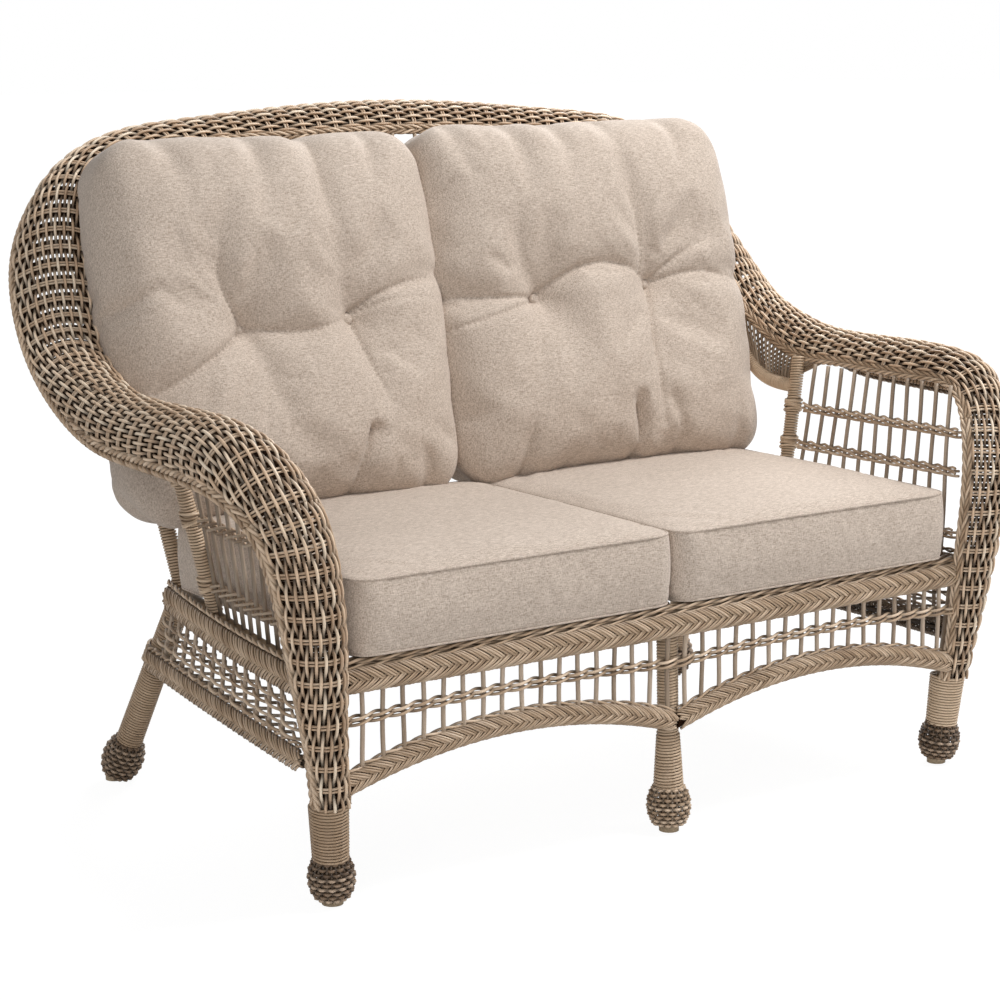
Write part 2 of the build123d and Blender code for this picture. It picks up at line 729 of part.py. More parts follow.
leg_skins = (leg_band, mirrored(leg_band), front_leg, mirrored(front_leg))
reach = place(BAND_SHARES[2][0]).X + BAND_THICK
braid_front = arc_braid(*front_span(BRAID_Z, 0, -reach, reach), BRAID_DEPTH, BRAID_H)
braid_front = cut(braid_front, leg_skins + (mid_leg,)).solids().sort_by(SortBy.VOLUME)[-1]
rope_front = front_bar(SEAT_Z - ROPE_R, 0, reach, ROPE_R)
rope_front = cut(rope_front, leg_skins).solids().sort_by(SortBy.VOLUME)[-1]
low_right = halved(arc_braid(*scallop_span(low_z, 0), LOW_BRAID_DEPTH, LOW_BRAID_H))
low_right = cut(low_right, (leg_band, front_leg, mid_leg)).solids().sort_by(SortBy.VOLUME)[-1]
mid_wrap = cut(mid_wrap, (low_right, mirrored(low_right))).solids().sort_by(SortBy.VOLUME)[-1]
rows_front = [halved(row) for row in front_rows()]
rows_front = cut(as_compound(rows_front), (leg_band, front_leg, mid_leg))
spokes_front = front_spokes()

side_tools = (leg_band, front_leg, rear_leg)
braid_side = cut(arc_braid(*side_braid_points(), BRAID_DEPTH, BRAID_H), side_tools)
braid_side = braid_side.solids().sort_by(SortBy.VOLUME)[-1]
low_tools = (leg_band, front_leg, front_wrap, rear_leg)
braid_low_side = cut(arc_braid(*low_side_points(), LOW_BRAID_DEPTH, LOW_BRAID_H), low_tools)
braid_low_side = braid_low_side.solids().sort_by(SortBy.VOLUME)[-1]
rear_wrap = cut(rear_wrap, (braid_low_side, braid_side, rail_back, rail_side))
rear_wrap = rear_wrap.solids().sort_by(SortBy.VOLUME)[-1]
rows_side = as_compound(side_rows())
spokes_side = side_spokes()

spokes_arm = arm_spokes((leg_band, arm_band))
rows_arm = as_compound(arm_rows(post_foot.Y))
back_bands = (top_band, wing_band, mirrored(wing_band))
spokes_back = back_spokes((rail_back,) + back_bands)
rows_back = cut(as_compound(back_rows()), (post_back, mirrored(post_back)) + back_bands)

seat = seat_cushion()
stand = back_place()
back = back_cushion().moved(stand)
buttons = as_compound([button(spot).moved(stand) for spot in button_places()])

slat_front = apron_y(0) + BRAID_DEPTH / 2 + RAIL_R
glides = [glide(front_axis), mirrored(glide(front_axis)), glide(mid_axis)]
glides.extend((glide(rear_axis), mirrored(glide(rear_axis))))

add_pair("band_leg", leg_band)
add_pair("band_arm", arm_band)
add_pair("band_wing", wing_band)
add("band_top", top_band)
add_pair("leg_front", front_leg)
add("leg_middle", mid_leg)
add_pair("leg_back", rear_leg)
add_pair("wrap_front", front_wrap)
add("wrap_middle", mid_wrap)
add_pair("wrap_back", rear_wrap)
add_pair("foot_front", front_foot)
add("foot_middle", mid_foot)
add_pair("foot_back", rear_foot)
add("glides", as_compound(glides))
add("rail_front", rail_front)
add_pair("rail_side", rail_side)
add("rail_back", rail_back)
add("seat_slats", slats(slat_front, rear_axis[1].Y - RAIL_R / 2))
add("braid_front", braid_front)
add("rope_front", rope_front)
add("braid_low_front", as_compound([low_right, mirrored(low_right)]))
add("spokes_front", spokes_front)
add("rows_front", as_compound([rows_front, mirrored(rows_front)]))
add_pair("braid_side", braid_side)
add_pair("braid_low_side", braid_low_side)
add_pair("spokes_side", spokes_side)
add_pair("rows_side", rows_side)
add_pair("post_arm", post_arm)
add_pair("tube_window", window_tube)
add_pair("spokes_arm", spokes_arm)
add_pair("rows_arm", rows_arm)
add_pair("post_back", post_back)
add("spokes_back", spokes_back)
add("rows_back", as_compound([rows_back]))
add_pair("seat_cushion", seat)
add_pair("back_cushion", back)
add_pair("buttons", buttons)

# The origin lies on the floor under the middle of the whole object

frontmost = leg_band.bounding_box().min.Y
rearmost = top_band.bounding_box().max.Y
to_origin = Location((0, -(frontmost + rearmost) / 2, 0))

for name, shape in parts.items():
    placed = as_compound([solid.moved(to_origin) for solid in shape.solids()])
    export_step(placed, "parts/" + name + ".step")
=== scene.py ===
import bpy
import math
import numpy as np
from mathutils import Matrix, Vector
from mathutils.bvhtree import BVHTree


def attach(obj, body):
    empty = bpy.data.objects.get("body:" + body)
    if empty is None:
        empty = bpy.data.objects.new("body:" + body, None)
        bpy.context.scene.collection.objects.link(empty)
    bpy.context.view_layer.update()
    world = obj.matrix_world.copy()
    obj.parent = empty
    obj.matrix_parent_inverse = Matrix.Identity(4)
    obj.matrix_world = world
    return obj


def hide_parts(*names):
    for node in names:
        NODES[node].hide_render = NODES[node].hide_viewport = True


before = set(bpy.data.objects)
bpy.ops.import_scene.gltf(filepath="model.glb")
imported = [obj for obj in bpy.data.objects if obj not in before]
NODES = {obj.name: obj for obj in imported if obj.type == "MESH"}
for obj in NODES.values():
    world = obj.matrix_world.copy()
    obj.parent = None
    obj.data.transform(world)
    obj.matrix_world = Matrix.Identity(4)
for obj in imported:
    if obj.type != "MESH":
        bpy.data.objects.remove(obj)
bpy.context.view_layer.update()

# Sizes in millimetres; meshes are made in metres, moved by ORIGIN into the shared frame
HALF_WIDTH, HALF_DEPTH, HEIGHT = 690.0, 400.0, 993.0
FRAME_Z, SEAT_Z, BRAID_Z = 303.0, 326.0, 297.0
CANE_R = 2.15
SPOKE_R = 3.2
ORIGIN = np.array([0.0, -37.17, 0.0])
FRONT = np.array([0.0, -1.0, 0.0])
UP = np.array([0.0, 0.0, 1.0])
RNG = np.random.default_rng(7)

BAND_SHARES = (
    ((0.743, -0.830, 0.136), (0.784, -0.895, 0.136), (0.823, -0.805, 0.136)),
    ((0.754, -0.840, 0.201), (0.787, -0.915, 0.201), (0.829, -0.800, 0.201)),
    ((0.759, -0.860, 0.323), (0.806, -0.955, 0.323), (0.861, -0.800, 0.323)),
    ((0.768, -0.875, 0.433), (0.829, -0.970, 0.433), (0.901, -0.815, 0.428)),
    ((0.790, -0.820, 0.534), (0.858, -0.905, 0.539), (0.939, -0.775, 0.504)),
    ((0.812, -0.700, 0.574), (0.870, -0.750, 0.606), (0.957, -0.655, 0.532)),
    ((0.812, -0.525, 0.578), (0.870, -0.530, 0.626), (0.962, -0.520, 0.539)),
    ((0.812, -0.295, 0.578), (0.872, -0.295, 0.628), (0.965, -0.290, 0.542)),
    ((0.816, -0.075, 0.579), (0.881, -0.068, 0.628), (0.970, -0.063, 0.544)),
    ((0.823, 0.150, 0.579), (0.899, 0.165, 0.634), (0.980, 0.175, 0.556)),
    ((0.826, 0.325, 0.600), (0.913, 0.365, 0.653), (0.991, 0.388, 0.592)),
    ((0.814, 0.500, 0.650), (0.910, 0.535, 0.685), (0.993, 0.588, 0.645)),
    ((0.791, 0.655, 0.733), (0.887, 0.680, 0.750), (0.978, 0.780, 0.720)),
    ((0.768, 0.788, 0.818), (0.856, 0.815, 0.836), (0.925, 0.963, 0.803)),
    ((0.729, 0.870, 0.886), (0.806, 0.905, 0.909), (0.832, 1.070, 0.876)),
    ((0.652, 0.900, 0.921), (0.704, 0.955, 0.953), (0.712, 1.120, 0.922)),
    ((0.478, 0.915, 0.939), (0.498, 0.988, 0.978), (0.500, 1.140, 0.955)),
    ((0.232, 0.923, 0.945), (0.239, 1.005, 0.993), (0.240, 1.153, 0.972)),
    ((0.0, 0.925, 0.948), (0.0, 1.010, 0.999), (0.0, 1.158, 0.978)),
)


# Small vector helpers

def unit(v):
    return v / np.maximum(np.linalg.norm(v, axis=-1, keepdims=True), 1e-9)


def dot(a, b):
    return (a * b).sum(-1, keepdims=True)


def mirror(points):
    return np.asarray(points) * np.array([-1.0, 1.0, 1.0])


def length_along(points):
    """The distance along a bent line at each of its points."""
    return np.r_[0, np.cumsum(np.linalg.norm(np.diff(points, axis=0), axis=1))]


def square_to(points, out):
    """The directions out of a line and across it, square to the line."""
    tangent = unit(np.gradient(points, axis=0))
    out = unit(out - dot(out, tangent) * tangent)
    return out, np.cross(tangent, out)


def round_axis(axis, hint, angle):
    """The directions square to an axis, at each angle round it."""
    side = unit(np.cross(axis, hint))
    angle = np.asarray(angle)[..., None]
    return np.cos(angle) * side + np.sin(angle) * np.cross(axis, side)


def spline(knots, values, at):
    """A natural cubic spline through the values, read at each place."""
    knots, values, at = (np.asarray(v, float) for v in (knots, values, at))
    n = len(knots)
    if n == 2:
        share = ((at - knots[0]) / (knots[1] - knots[0]))[:, None]
        return values[0] * (1 - share) + values[1] * share
    h = np.diff(knots)
    a = np.eye(n)
    b = np.zeros_like(values)
    for i in range(1, n - 1):
        a[i, i - 1], a[i, i], a[i, i + 1] = h[i - 1], 2 * (h[i - 1] + h[i]), h[i]
        b[i] = 6 * ((values[i + 1] - values[i]) / h[i] - (values[i] - values[i - 1]) / h[i - 1])
    m = np.linalg.solve(a, b)
    k = np.clip(np.searchsorted(knots, at) - 1, 0, n - 2)
    w = (at - knots[k])[:, None]
    q = (knots[k + 1] - at)[:, None]
    s = h[k][:, None]
    return (m[k] * q ** 3 + m[k + 1] * w ** 3) / (6 * s) + (values[k] / s - m[k] * s / 6) * q + (
        values[k + 1] / s - m[k + 1] * s / 6) * w


def linked(name, data):
    """An object for a mesh, light or camera, in the scene."""
    made = bpy.data.objects.new(name, data)
    bpy.context.scene.collection.objects.link(made)
    return made


# A weave collects round strands into one mesh

class Weave:
    def __init__(self):
        self.verts, self.quads, self.caps = [], [], []
        self.tone, self.cane, self.painted_shade = [], [], []
        self.count = 0

    def strand(self, path, out, radius=CANE_R, sides=6, closed=False, tone=None, painted_shade=1.0):
        """A round strand along a path; out turns its section, and painted_shade darkens its colour as painted
        shade where it lies deep.
        """
        path = np.asarray(path, float)
        n = len(path)
        if n < 2:
            return
        out = np.broadcast_to(np.asarray(out, float), path.shape)
        tangent = unit(np.roll(path, -1, 0) - np.roll(path, 1, 0) if closed else np.gradient(path, axis=0))
        across = unit(np.cross(tangent, out))
        up = np.cross(across, tangent)
        radius = np.broadcast_to(np.asarray(radius, float), (n,))
        angle = np.arange(sides) * 2 * math.pi / sides
        ring = across[:, None] * np.cos(angle)[None, :, None] + up[:, None] * np.sin(angle)[None, :, None]
        verts = path[:, None] + ring * radius[:, None, None]
        index = self.count + np.arange(n * sides).reshape(n, sides)
        rows = n if closed else n - 1
        nxt = np.roll(index, -1, 0)
        a, b = index[:rows], nxt[:rows]
        quads = np.stack([a, np.roll(a, -1, 1), np.roll(b, -1, 1), b], -1).reshape(-1, 4)
        self.verts.append(verts.reshape(-1, 3))
        self.quads.append(quads)
        if not closed:
            self.caps.append(index[0][::-1])
            self.caps.append(index[-1])
        value = RNG.random() if tone is None else tone
        length = length_along(path)
        self.tone.append(np.full(n * sides, value))
        # Painted shade: each ring is painted darker on its lower side, and the whole strand darker where
        # painted_shade is low.
        shade = np.broadcast_to(painted_shade, (n,))[:, None] * (0.74 + 0.26 * np.sin(angle))
        self.painted_shade.append(shade.ravel())
        cane = np.empty((n, sides, 3))
        cane[..., 0] = length[:, None] * 0.001
        cane[..., 1] = np.cos(angle) * 0.003
        cane[..., 2] = value * 10 + np.sin(angle) * 0.003
        self.cane.append(cane.reshape(-1, 3))
        self.count += n * sides

    def build(self, name, material, slot, *replaced, body="frame"):
        verts = (np.concatenate(self.verts) + ORIGIN) * 0.001
        quads = np.concatenate(self.quads)
        mesh = bpy.data.meshes.new(name)
        loops = np.concatenate([quads.ravel()] + self.caps).astype(np.int32)
        sizes = np.r_[np.full(len(quads), 4), [len(c) for c in self.caps]].astype(np.int32)
        smooth = np.arange(len(sizes)) < len(quads)
        mesh.vertices.add(len(verts))
        mesh.vertices.foreach_set("co", verts.ravel())
        mesh.loops.add(len(loops))
        mesh.loops.foreach_set("vertex_index", loops)
        mesh.polygons.add(len(sizes))
        mesh.polygons.foreach_set("loop_start", np.r_[0, np.cumsum(sizes)[:-1]].astype(np.int32))
        mesh.polygons.foreach_set("use_smooth", smooth)
        for label, kind, field, values in (
            ("tone", "FLOAT", "value", self.tone), ("painted_shade", "FLOAT", "value", self.painted_shade),
            ("cane", "FLOAT_VECTOR", "vector", self.cane),
        ):
            attribute = mesh.attributes.new(label, kind, "POINT")
            attribute.data.foreach_set(field, np.concatenate(values).astype(np.float32).ravel())
        mesh.update(calc_edges=True)
        mesh.validate()
        mesh.materials.append(material)
        piece = linked(name, mesh)
        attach(piece, body)
        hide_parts(*replaced)
        return piece


def build_one(make, node_name, material, slot):
    """A piece of the frame, from what make lays into a weave."""
    weave = Weave()
    make(weave)
    weave.build(node_name + "_cane", material, slot, node_name)


def build_pair(make, node_name, material, slot, name=None):
    """A piece of the frame on the right, and its mirror image on the left."""
    for label in ("_right", "_left"):
        weave = Weave()
        make(weave)
        if label == "_left":
            weave.verts = [mirror(v) for v in weave.verts]
            weave.quads = [q[:, ::-1] for q in weave.quads]
            weave.caps = [c[::-1] for c in weave.caps]
        weave.build((name or node_name) + "_cane" + label, material, slot, node_name + label)


# Materials

def nodes_of(name):
    material = bpy.data.materials.new(name)
    material.use_nodes = True
    return material, material.node_tree, material.node_tree.nodes["Principled BSDF"]


def feed(tree, socket, value):
    """Sets an input's value, or links another node's output to it."""
    if isinstance(value, bpy.types.NodeSocket):
        tree.links.new(value, socket)
    else:
        socket.default_value = value


def node(tree, kind, *feeds, **settings):
    """A shader node; feeds go to its inputs in order, settings to inputs or properties by name."""
    made = tree.nodes.new("ShaderNode" + kind)
    for key, value in settings.items():
        if key in made.inputs.keys():
            feed(tree, made.inputs[key], value)
        else:
            setattr(made, key, value)
    for socket, value in zip(made.inputs, feeds):
        feed(tree, socket, value)
    return made


def maths(tree, operation, *values):
    return node(tree, "Math", *values, operation=operation).outputs[0]


def span(tree, level, *limits):
    """A level moved between ranges: from low, from high, to low, to high."""
    return node(tree, "MapRange", level, *limits).outputs["Result"]


def noise(tree, place, scale, detail, stretch=None):
    """Noise at a place, which is stretched first where stretch is given."""
    if stretch:
        place = node(tree, "Mapping", place, Scale=stretch).outputs["Vector"]
    return node(tree, "TexNoise", place, Scale=scale, Detail=detail).outputs["Fac"]


def ramp(tree, level, stops):
    made = node(tree, "ValToRGB", level)
    elements = made.color_ramp.elements
    while len(elements) < len(stops):
        elements.new(0.5)
    for element, (place, colour) in zip(elements, stops):
        element.position = place
        element.color = colour + (1.0,)
    return made.outputs["Color"]


def coat(tree, shader, colour, rough, height, strength, distance):
    """The colour, roughness and fine bumps of a surface."""
    feed(tree, shader.inputs["Base Color"], colour)
    feed(tree, shader.inputs["Roughness"], rough)
    bumps = node(tree, "Bump", Strength=strength, Distance=distance, Height=height)
    feed(tree, shader.inputs["Normal"], bumps.outputs["Normal"])


def cane_material(name, dark, mid, light, rough=0.45):
    """Cane whose colour varies from strand to strand and in streaks along each strand, then is darkened by
    the painted_shade attribute as painted shade.
    """
    material, tree, shader = nodes_of(name)
    tone = node(tree, "Attribute", attribute_name="tone").outputs["Fac"]
    painted_shade = node(tree, "Attribute", attribute_name="painted_shade").outputs["Fac"]
    cane = node(tree, "Attribute", attribute_name="cane").outputs["Vector"]
    streak = noise(tree, cane, 1.0, 3.0, (28.0, 420.0, 14.0))
    patch = noise(tree, node(tree, "TexCoord").outputs["Object"], 9.0, 2.0)
    level = maths(tree, "MULTIPLY_ADD", streak, 0.55, maths(tree, "MULTIPLY", tone, 0.42))
    level = maths(tree, "MULTIPLY_ADD", patch, 0.35, level)
    colours = ramp(tree, level, ((0.30, dark), (0.62, mid), (0.95, light)))
    # Painted shade: the colour is scaled down to a tenth where painted_shade is low, in gaps and on
    # undersides.
    depth = span(tree, painted_shade, 0.0, 1.0, 0.10)
    shaded = node(tree, "VectorMath", colours, operation="SCALE", Scale=depth).outputs["Vector"]
    coat(tree, shader, shaded, rough, noise(tree, cane, 1.0, 2.0, (90.0, 1500.0, 1500.0)), 0.25, 0.0006)
    feed(tree, shader.inputs["Specular IOR Level"], 0.4 if rough < 0.8 else 0.05)
    return material


def pole_material(name, dark, light):
    """A smooth peeled pole with long grain."""
    material, tree, shader = nodes_of(name)
    grain = noise(tree, node(tree, "TexCoord").outputs["Object"], 60.0, 4.0, (1.0, 1.0, 0.12))
    coat(tree, shader, ramp(tree, grain, ((0.30, dark), (0.70, light))), 0.5, grain, 0.2, 0.0005)
    return material


def cloth_material(name, dark, mid, light):
    """Heathered plain cloth: two crossed sets of slubbed threads."""
    material, tree, shader = nodes_of(name)
    place = node(tree, "TexCoord").outputs["Object"]
    threads = [noise(tree, place, 1150.0, 1.0, scale) for scale in ((0.10, 0.5, 1.0), (1.0, 0.5, 0.22))]
    both = maths(tree, "ADD", *threads)
    level = maths(tree, "MULTIPLY_ADD", noise(tree, place, 7.0, 3.0), 0.10, both)
    colours = ramp(tree, span(tree, level, 0.72, 1.38), ((0.12, dark), (0.5, mid), (0.88, light)))
    coat(tree, shader, colours, 0.92, both, 0.35, 0.0006)
    feed(tree, shader.inputs["Sheen Weight"], 0.15)
    feed(tree, shader.inputs["Sheen Roughness"], 0.5)
    return material


CANE = cane_material("cane", (0.28, 0.170, 0.098), (0.74, 0.535, 0.365), (1.0, 0.85, 0.67))
CANE_BORDER = cane_material("cane_border", (0.22, 0.135, 0.076), (0.54, 0.385, 0.255), (0.90, 0.71, 0.53))
CANE_FOOT = cane_material("cane_foot", (0.05, 0.026, 0.013), (0.24, 0.155, 0.095), (0.66, 0.50, 0.365))
# Near-black cane that stands in for shade: the lining sheets and the plait cores are painted shade.
CANE_PAINTED_SHADE = cane_material("cane_painted_shade", (0.01, 0.004, 0.002), (0.030, 0.013, 0.006), (0.07, 0.036, 0.018), 0.9)
CANE_WRAP = cane_material("cane_wrap", (0.30, 0.195, 0.115), (0.57, 0.42, 0.285), (0.82, 0.64, 0.46))
CANE_SPOKE = cane_material("cane_spoke", (0.26, 0.185, 0.125), (0.42, 0.32, 0.235), (0.60, 0.48, 0.37))
POLE = pole_material("pole", (0.16, 0.105, 0.06), (0.33, 0.23, 0.14))
GLIDE = pole_material("glide", (0.42, 0.32, 0.21), (0.55, 0.43, 0.29))
CLOTH = cloth_material("cloth", (0.375, 0.300, 0.240), (0.53, 0.437, 0.362), (0.67, 0.572, 0.490))


# The woven band that runs up the leg, over the arm and round the top

RIGHT = np.array(BAND_SHARES) * np.array([HALF_WIDTH, HALF_DEPTH, HEIGHT])
STATIONS = np.concatenate([RIGHT, mirror(RIGHT[:-1][::-1])])
STATION_AT = length_along(STATIONS.mean(1))
BAND_LENGTH = STATION_AT[-1]
PAIR_PITCH = BAND_LENGTH / round(BAND_LENGTH / 29.0)
PAIR_HALF_GAP = 2.1
FIELD_PITCH = 6.5
FIELD_STEP = PAIR_PITCH / 6
BORDER_STEP = 3.0
WEAVE_LIFT = 3.5
INNER_BORDER = 18.0
TUCK = 6.0
SHADE_LINING_DEPTH = 4.6
BORDER_AT = (0, 8, 11, 25, 28, 36)
BORDER_WIDTHS = (24.0, 24.0, 9.0, 9.0, 24.0, 24.0)


def outer_border(along):
    """How much of the band's outer side the plaited border takes."""
    return np.interp(along, STATION_AT[list(BORDER_AT)], BORDER_WIDTHS)


class Band:
    """The circle through the three lines of the band, at each distance along it."""

    def __init__(self, along):
        self.along = np.asarray(along, float)
        three = spline(STATION_AT, STATIONS.reshape(-1, 9), self.along).reshape(-1, 3, 3)
        a, b, c = three[:, 0], three[:, 1], three[:, 2]
        ab, ac = b - a, c - a
        n = np.cross(ab, ac)
        self.centre = a + (np.cross(n, ab) * dot(ac, ac) + np.cross(ac, n) * dot(ab, ab)) / (2 * dot(n, n))
        self.radius = np.linalg.norm(a - self.centre, axis=1, keepdims=True)
        self.first = unit(a - self.centre)
        self.second = np.cross(unit(n), self.first)
        reach = c - self.centre
        angle = np.arctan2(dot(reach, self.second), dot(reach, self.first)) % (2 * math.pi)
        self.width = (self.radius * angle)[:, 0]

    def at(self, across, lift=0.0):
        """Places at distances across from the inner edge, and the directions out of the weave."""
        turn = np.asarray(across, float).reshape(-1, 1) / self.radius
        out = np.cos(turn) * self.first + np.sin(turn) * self.second
        depth = np.broadcast_to(np.asarray(lift, float), (len(self.along),))[:, None]
        return self.centre + (self.radius + depth - WEAVE_LIFT - CANE_R) * out, out


def runs(mask):
    """The stretches where a mask is true, as index pairs."""
    edges = np.flatnonzero(np.diff(np.r_[0, mask.astype(int), 0]))
    return zip(edges[::2], edges[1::2])


def soft_wave(x):
    wave = np.cos(math.pi * x)
    return wave * (3 - wave ** 2) / 2


def weave_band(first, last, weave, seed):
    """Weavers and spoke pairs of one length of the band."""
    rng = np.random.default_rng(seed)
    start, end = round(STATION_AT[first] / FIELD_STEP), round(STATION_AT[last] / FIELD_STEP)
    along = np.minimum(np.arange(start, end + 1) * FIELD_STEP, BAND_LENGTH)
    band = Band(along)
    edge = band.width - outer_border(along)
    tones = np.random.default_rng(11).random(60)
    for index in range(int(band.width.max() / FIELD_PITCH)):
        across = INNER_BORDER + index * FIELD_PITCH
        lift = WEAVE_LIFT * soft_wave(along / PAIR_PITCH + index)
        sink = np.clip((across - edge) / TUCK, 0, 1)
        points, out = band.at(np.minimum(across, edge + TUCK), lift * (1 - sink) - 3.0 * sink)
        # Painted shade: a weaver is darker where it dips behind a spoke pair and where it sinks under the
        # border.
        painted_shade = 0.50 + 0.50 * lift / WEAVE_LIFT * (1 - sink)
        for low, high in runs(across < edge + TUCK):
            if high - low >= 12:
                part = slice(low, high)
                weave.strand(points[part], out[part], CANE_R, 6, tone=tones[index % 60], painted_shade=painted_shade[part])
    for pair in range(math.ceil(along[0] / PAIR_PITCH - 0.5), math.ceil(along[-1] / PAIR_PITCH - 0.5)):
        centre = pair * PAIR_PITCH
        if centre < 1 or centre > BAND_LENGTH - 1:
            continue
        for side in (-PAIR_HALF_GAP, PAIR_HALF_GAP):
            here = Band(np.full(30, centre + side))
            points, out = here.at(np.linspace(2.0, here.width[0] - 4.0, 30))
            # Painted shade: spoke pairs are darkened by a fifth.
            weave.strand(points, out, 1.7, 6, tone=0.25 + 0.5 * rng.random(), painted_shade=0.8)


def line_band(first, last, weave, slit, deep, thick):
    """Close stakes under the weave; in the near-black cane this is a painted shade sheet that darkens the
    gaps behind it, and slits let some light through.
    """
    quarter = PAIR_PITCH / 4
    for index in range(math.ceil(STATION_AT[first] / quarter), math.ceil(STATION_AT[last] / quarter)):
        here = Band(np.full(22, (index + 0.5) * quarter))
        width = here.width[0]
        across = np.linspace(3.0, width - 5.0, 22)
        points, out = here.at(across, -deep)
        if slit and index % 4 == 1:
            for part in (across < 0.30 * width, across > 0.72 * width):
                weave.strand(points[part], -out[part], thick - 0.4, 5)
        else:
            weave.strand(points, -out, thick, 5)


def rope(weave, points, out, count, radius, cane, pitch, hand, flat=1.0, phase=0.0):
    """Strands twisted round a line; pitch is one full turn."""
    out, across = square_to(points, out)
    length = length_along(points)
    for index in range(count):
        angle = hand * 2 * math.pi * (length / pitch + index / count) + phase
        path = points + radius * (np.cos(angle)[:, None] * across + flat * np.sin(angle)[:, None] * out)
        # Painted shade: each strand is darker where it turns to the back of the rope.
        weave.strand(path, out, cane, 5, painted_shade=0.64 + 0.36 * np.sin(angle))


def border_band(first, last, weave):
    """The twisted rows along both edges of one length of the band."""
    start, end = round(STATION_AT[first] / BORDER_STEP), round(STATION_AT[last] / BORDER_STEP)
    if last == len(STATIONS) - 1:
        end = math.floor(BAND_LENGTH / BORDER_STEP)
    along = np.arange(start, end + 1) * BORDER_STEP
    band = Band(along)

    def lay(across, hand, radius, cane, pitch, part=slice(None)):
        points, out = band.at(across, 0.4)
        phase = hand * 2 * math.pi * along[part][0] / pitch
        rope(weave, points[part], out[part], 3, radius, cane, pitch, hand, 0.9, phase)

    lay(4.0, 1, 2.6, 2.2, 48.0)
    lay(12.2, -1, 2.6, 2.2, 48.0)
    wide = np.flatnonzero(outer_border(along) > 16)
    if len(wide):
        lay(band.width - 17.5, 1, 3.1, 2.75, 36.0, slice(wide[0], wide[-1] + 1))
    lay(band.width - 6.5, -1, 3.1, 2.75, 36.0)


BAND_PIECES = (
    ("leg_right", 0, 4), ("arm_right", 4, 9), ("wing_right", 9, 14), ("top", 14, 22),
    ("wing_left", 22, 27), ("arm_left", 27, 32), ("leg_left", 32, 36),
)
for order, (label, low, high) in enumerate(BAND_PIECES):
    slit = label.startswith("wing")
    for layer, material, make in (
        ("weave_", CANE, lambda weave: weave_band(low, high, weave, 100 + order)),
        ("border_", CANE_BORDER, lambda weave: border_band(low, high, weave)),
        # Painted shade: a near-black sheet of stakes under the weave darkens its gaps.
        ("shade_lining_", CANE_PAINTED_SHADE, lambda weave: line_band(low, high, weave, slit, SHADE_LINING_DEPTH, 3.3)),
        ("backing_", CANE_BORDER, lambda weave: line_band(low, high, weave, slit, SHADE_LINING_DEPTH + 3.4, 2.6)),
    ):
        weave = Weave()
        make(weave)
        weave.build(layer + label, material, "woven_band", "band_" + label)


# Braids, ropes and rows of the panels

PLAIT_SHARES = (0.0, 0.12, 0.32, 0.56, 0.80, 1.0)
PLAIT_HIGH_SHARES = (0.50, 0.96, 0.86, 0.34, -0.22, -0.45)
PLAIT_DEEP_SHARES = (-0.95, -0.25, 0.60, 1.00, 0.55, -0.60)
ROD_SPREAD = 3.35


def plait(weave, points, out, half_height, half_depth, step, cane, lean):
    """A closed border: rods roll over one edge, cross the face and dive, from each edge in turn."""
    out, up = square_to(points, out)
    up = up * np.sign(up[:, 2:3])
    length = length_along(points)

    def read(values, at):
        return np.stack([np.interp(at, length, values[:, k]) for k in range(3)], -1)

    share = np.linspace(0, 1, 14)
    high = spline(PLAIT_SHARES, np.array(PLAIT_HIGH_SHARES)[:, None], share)[:, 0] * (half_height - cane)
    deep = spline(PLAIT_SHARES, np.array(PLAIT_DEEP_SHARES)[:, None], share)[:, 0] * (half_depth - cane)
    # Painted shade: rods are darker where they dive deep, and darker again towards the end of each crossing.
    fade = np.clip(1.15 - 0.75 * np.clip(share - 0.55, 0, 1) / 0.45, 0, 1)
    painted_shade = np.clip(0.55 + 0.45 * deep / half_depth, 0.1, 1) * fade
    for group in range(int(length[-1] / step) + 1):
        for side, shift in ((1, 0.25), (-1, 0.75)):
            tone = 0.3 + 0.4 * RNG.random()
            for offset in (-1, 0, 1):
                at = (group + shift) * step + offset * step / ROD_SPREAD + (share - 0.5) * lean
                keep = (at >= 0) & (at <= length[-1])
                if keep.sum() < 4:
                    continue
                bulge = deep + 0.9 * cane * (1 - abs(offset)) * np.sin(math.pi * share)
                path = read(points, at) + read(up, at) * (side * high)[:, None]
                path = path + read(out, at) * bulge[:, None]
                weave.strand(path[keep], read(out, at)[keep], cane, 5,
                             tone=np.clip(tone + RNG.normal() * 0.12, 0, 1), painted_shade=painted_shade[keep])


def core(node_name, lines):
    """A near-black filling inside the front plaits, painted shade that shows only through their gaps."""
    weave = Weave()
    for line, half_height, half_depth in lines:
        for lift in (-0.45, 0.0, 0.45):
            weave.strand(line + UP * (half_height * lift), FRONT, half_depth * 0.55, 6, tone=0.3)
    weave.build(node_name + "_painted_shade_core", CANE_PAINTED_SHADE, "braid", node_name)


def pairing(weave, line, outward, turns, cane, reach, rise, shading=0.34):
    """Two strands that change places in front of and behind each spoke."""
    for strand in (0, 1):
        angle = math.pi * (turns + strand)
        path = line + outward * (reach * np.cos(angle))[:, None] + UP * (rise * np.sin(angle))[:, None]
        # Painted shade: each strand is darkened by the share shading as it passes behind a spoke.
        weave.strand(path, outward, cane, 6, painted_shade=1 - shading + shading * np.cos(angle))


APRON_HALF = 530.0
FRONT_PITCH = APRON_HALF / 17.5


def apron_y(x):
    return -347.2 + 5.2 * (x / APRON_HALF) ** 2


def swag(x):
    share = np.abs(x) / APRON_HALF
    return 4 * share * (1 - share)


def low_z(x):
    return 158.0 + 44.0 * swag(x)


def across_front(x, z):
    x, z = np.broadcast_arrays(x, z)
    return np.stack([x, apron_y(x), z], -1)


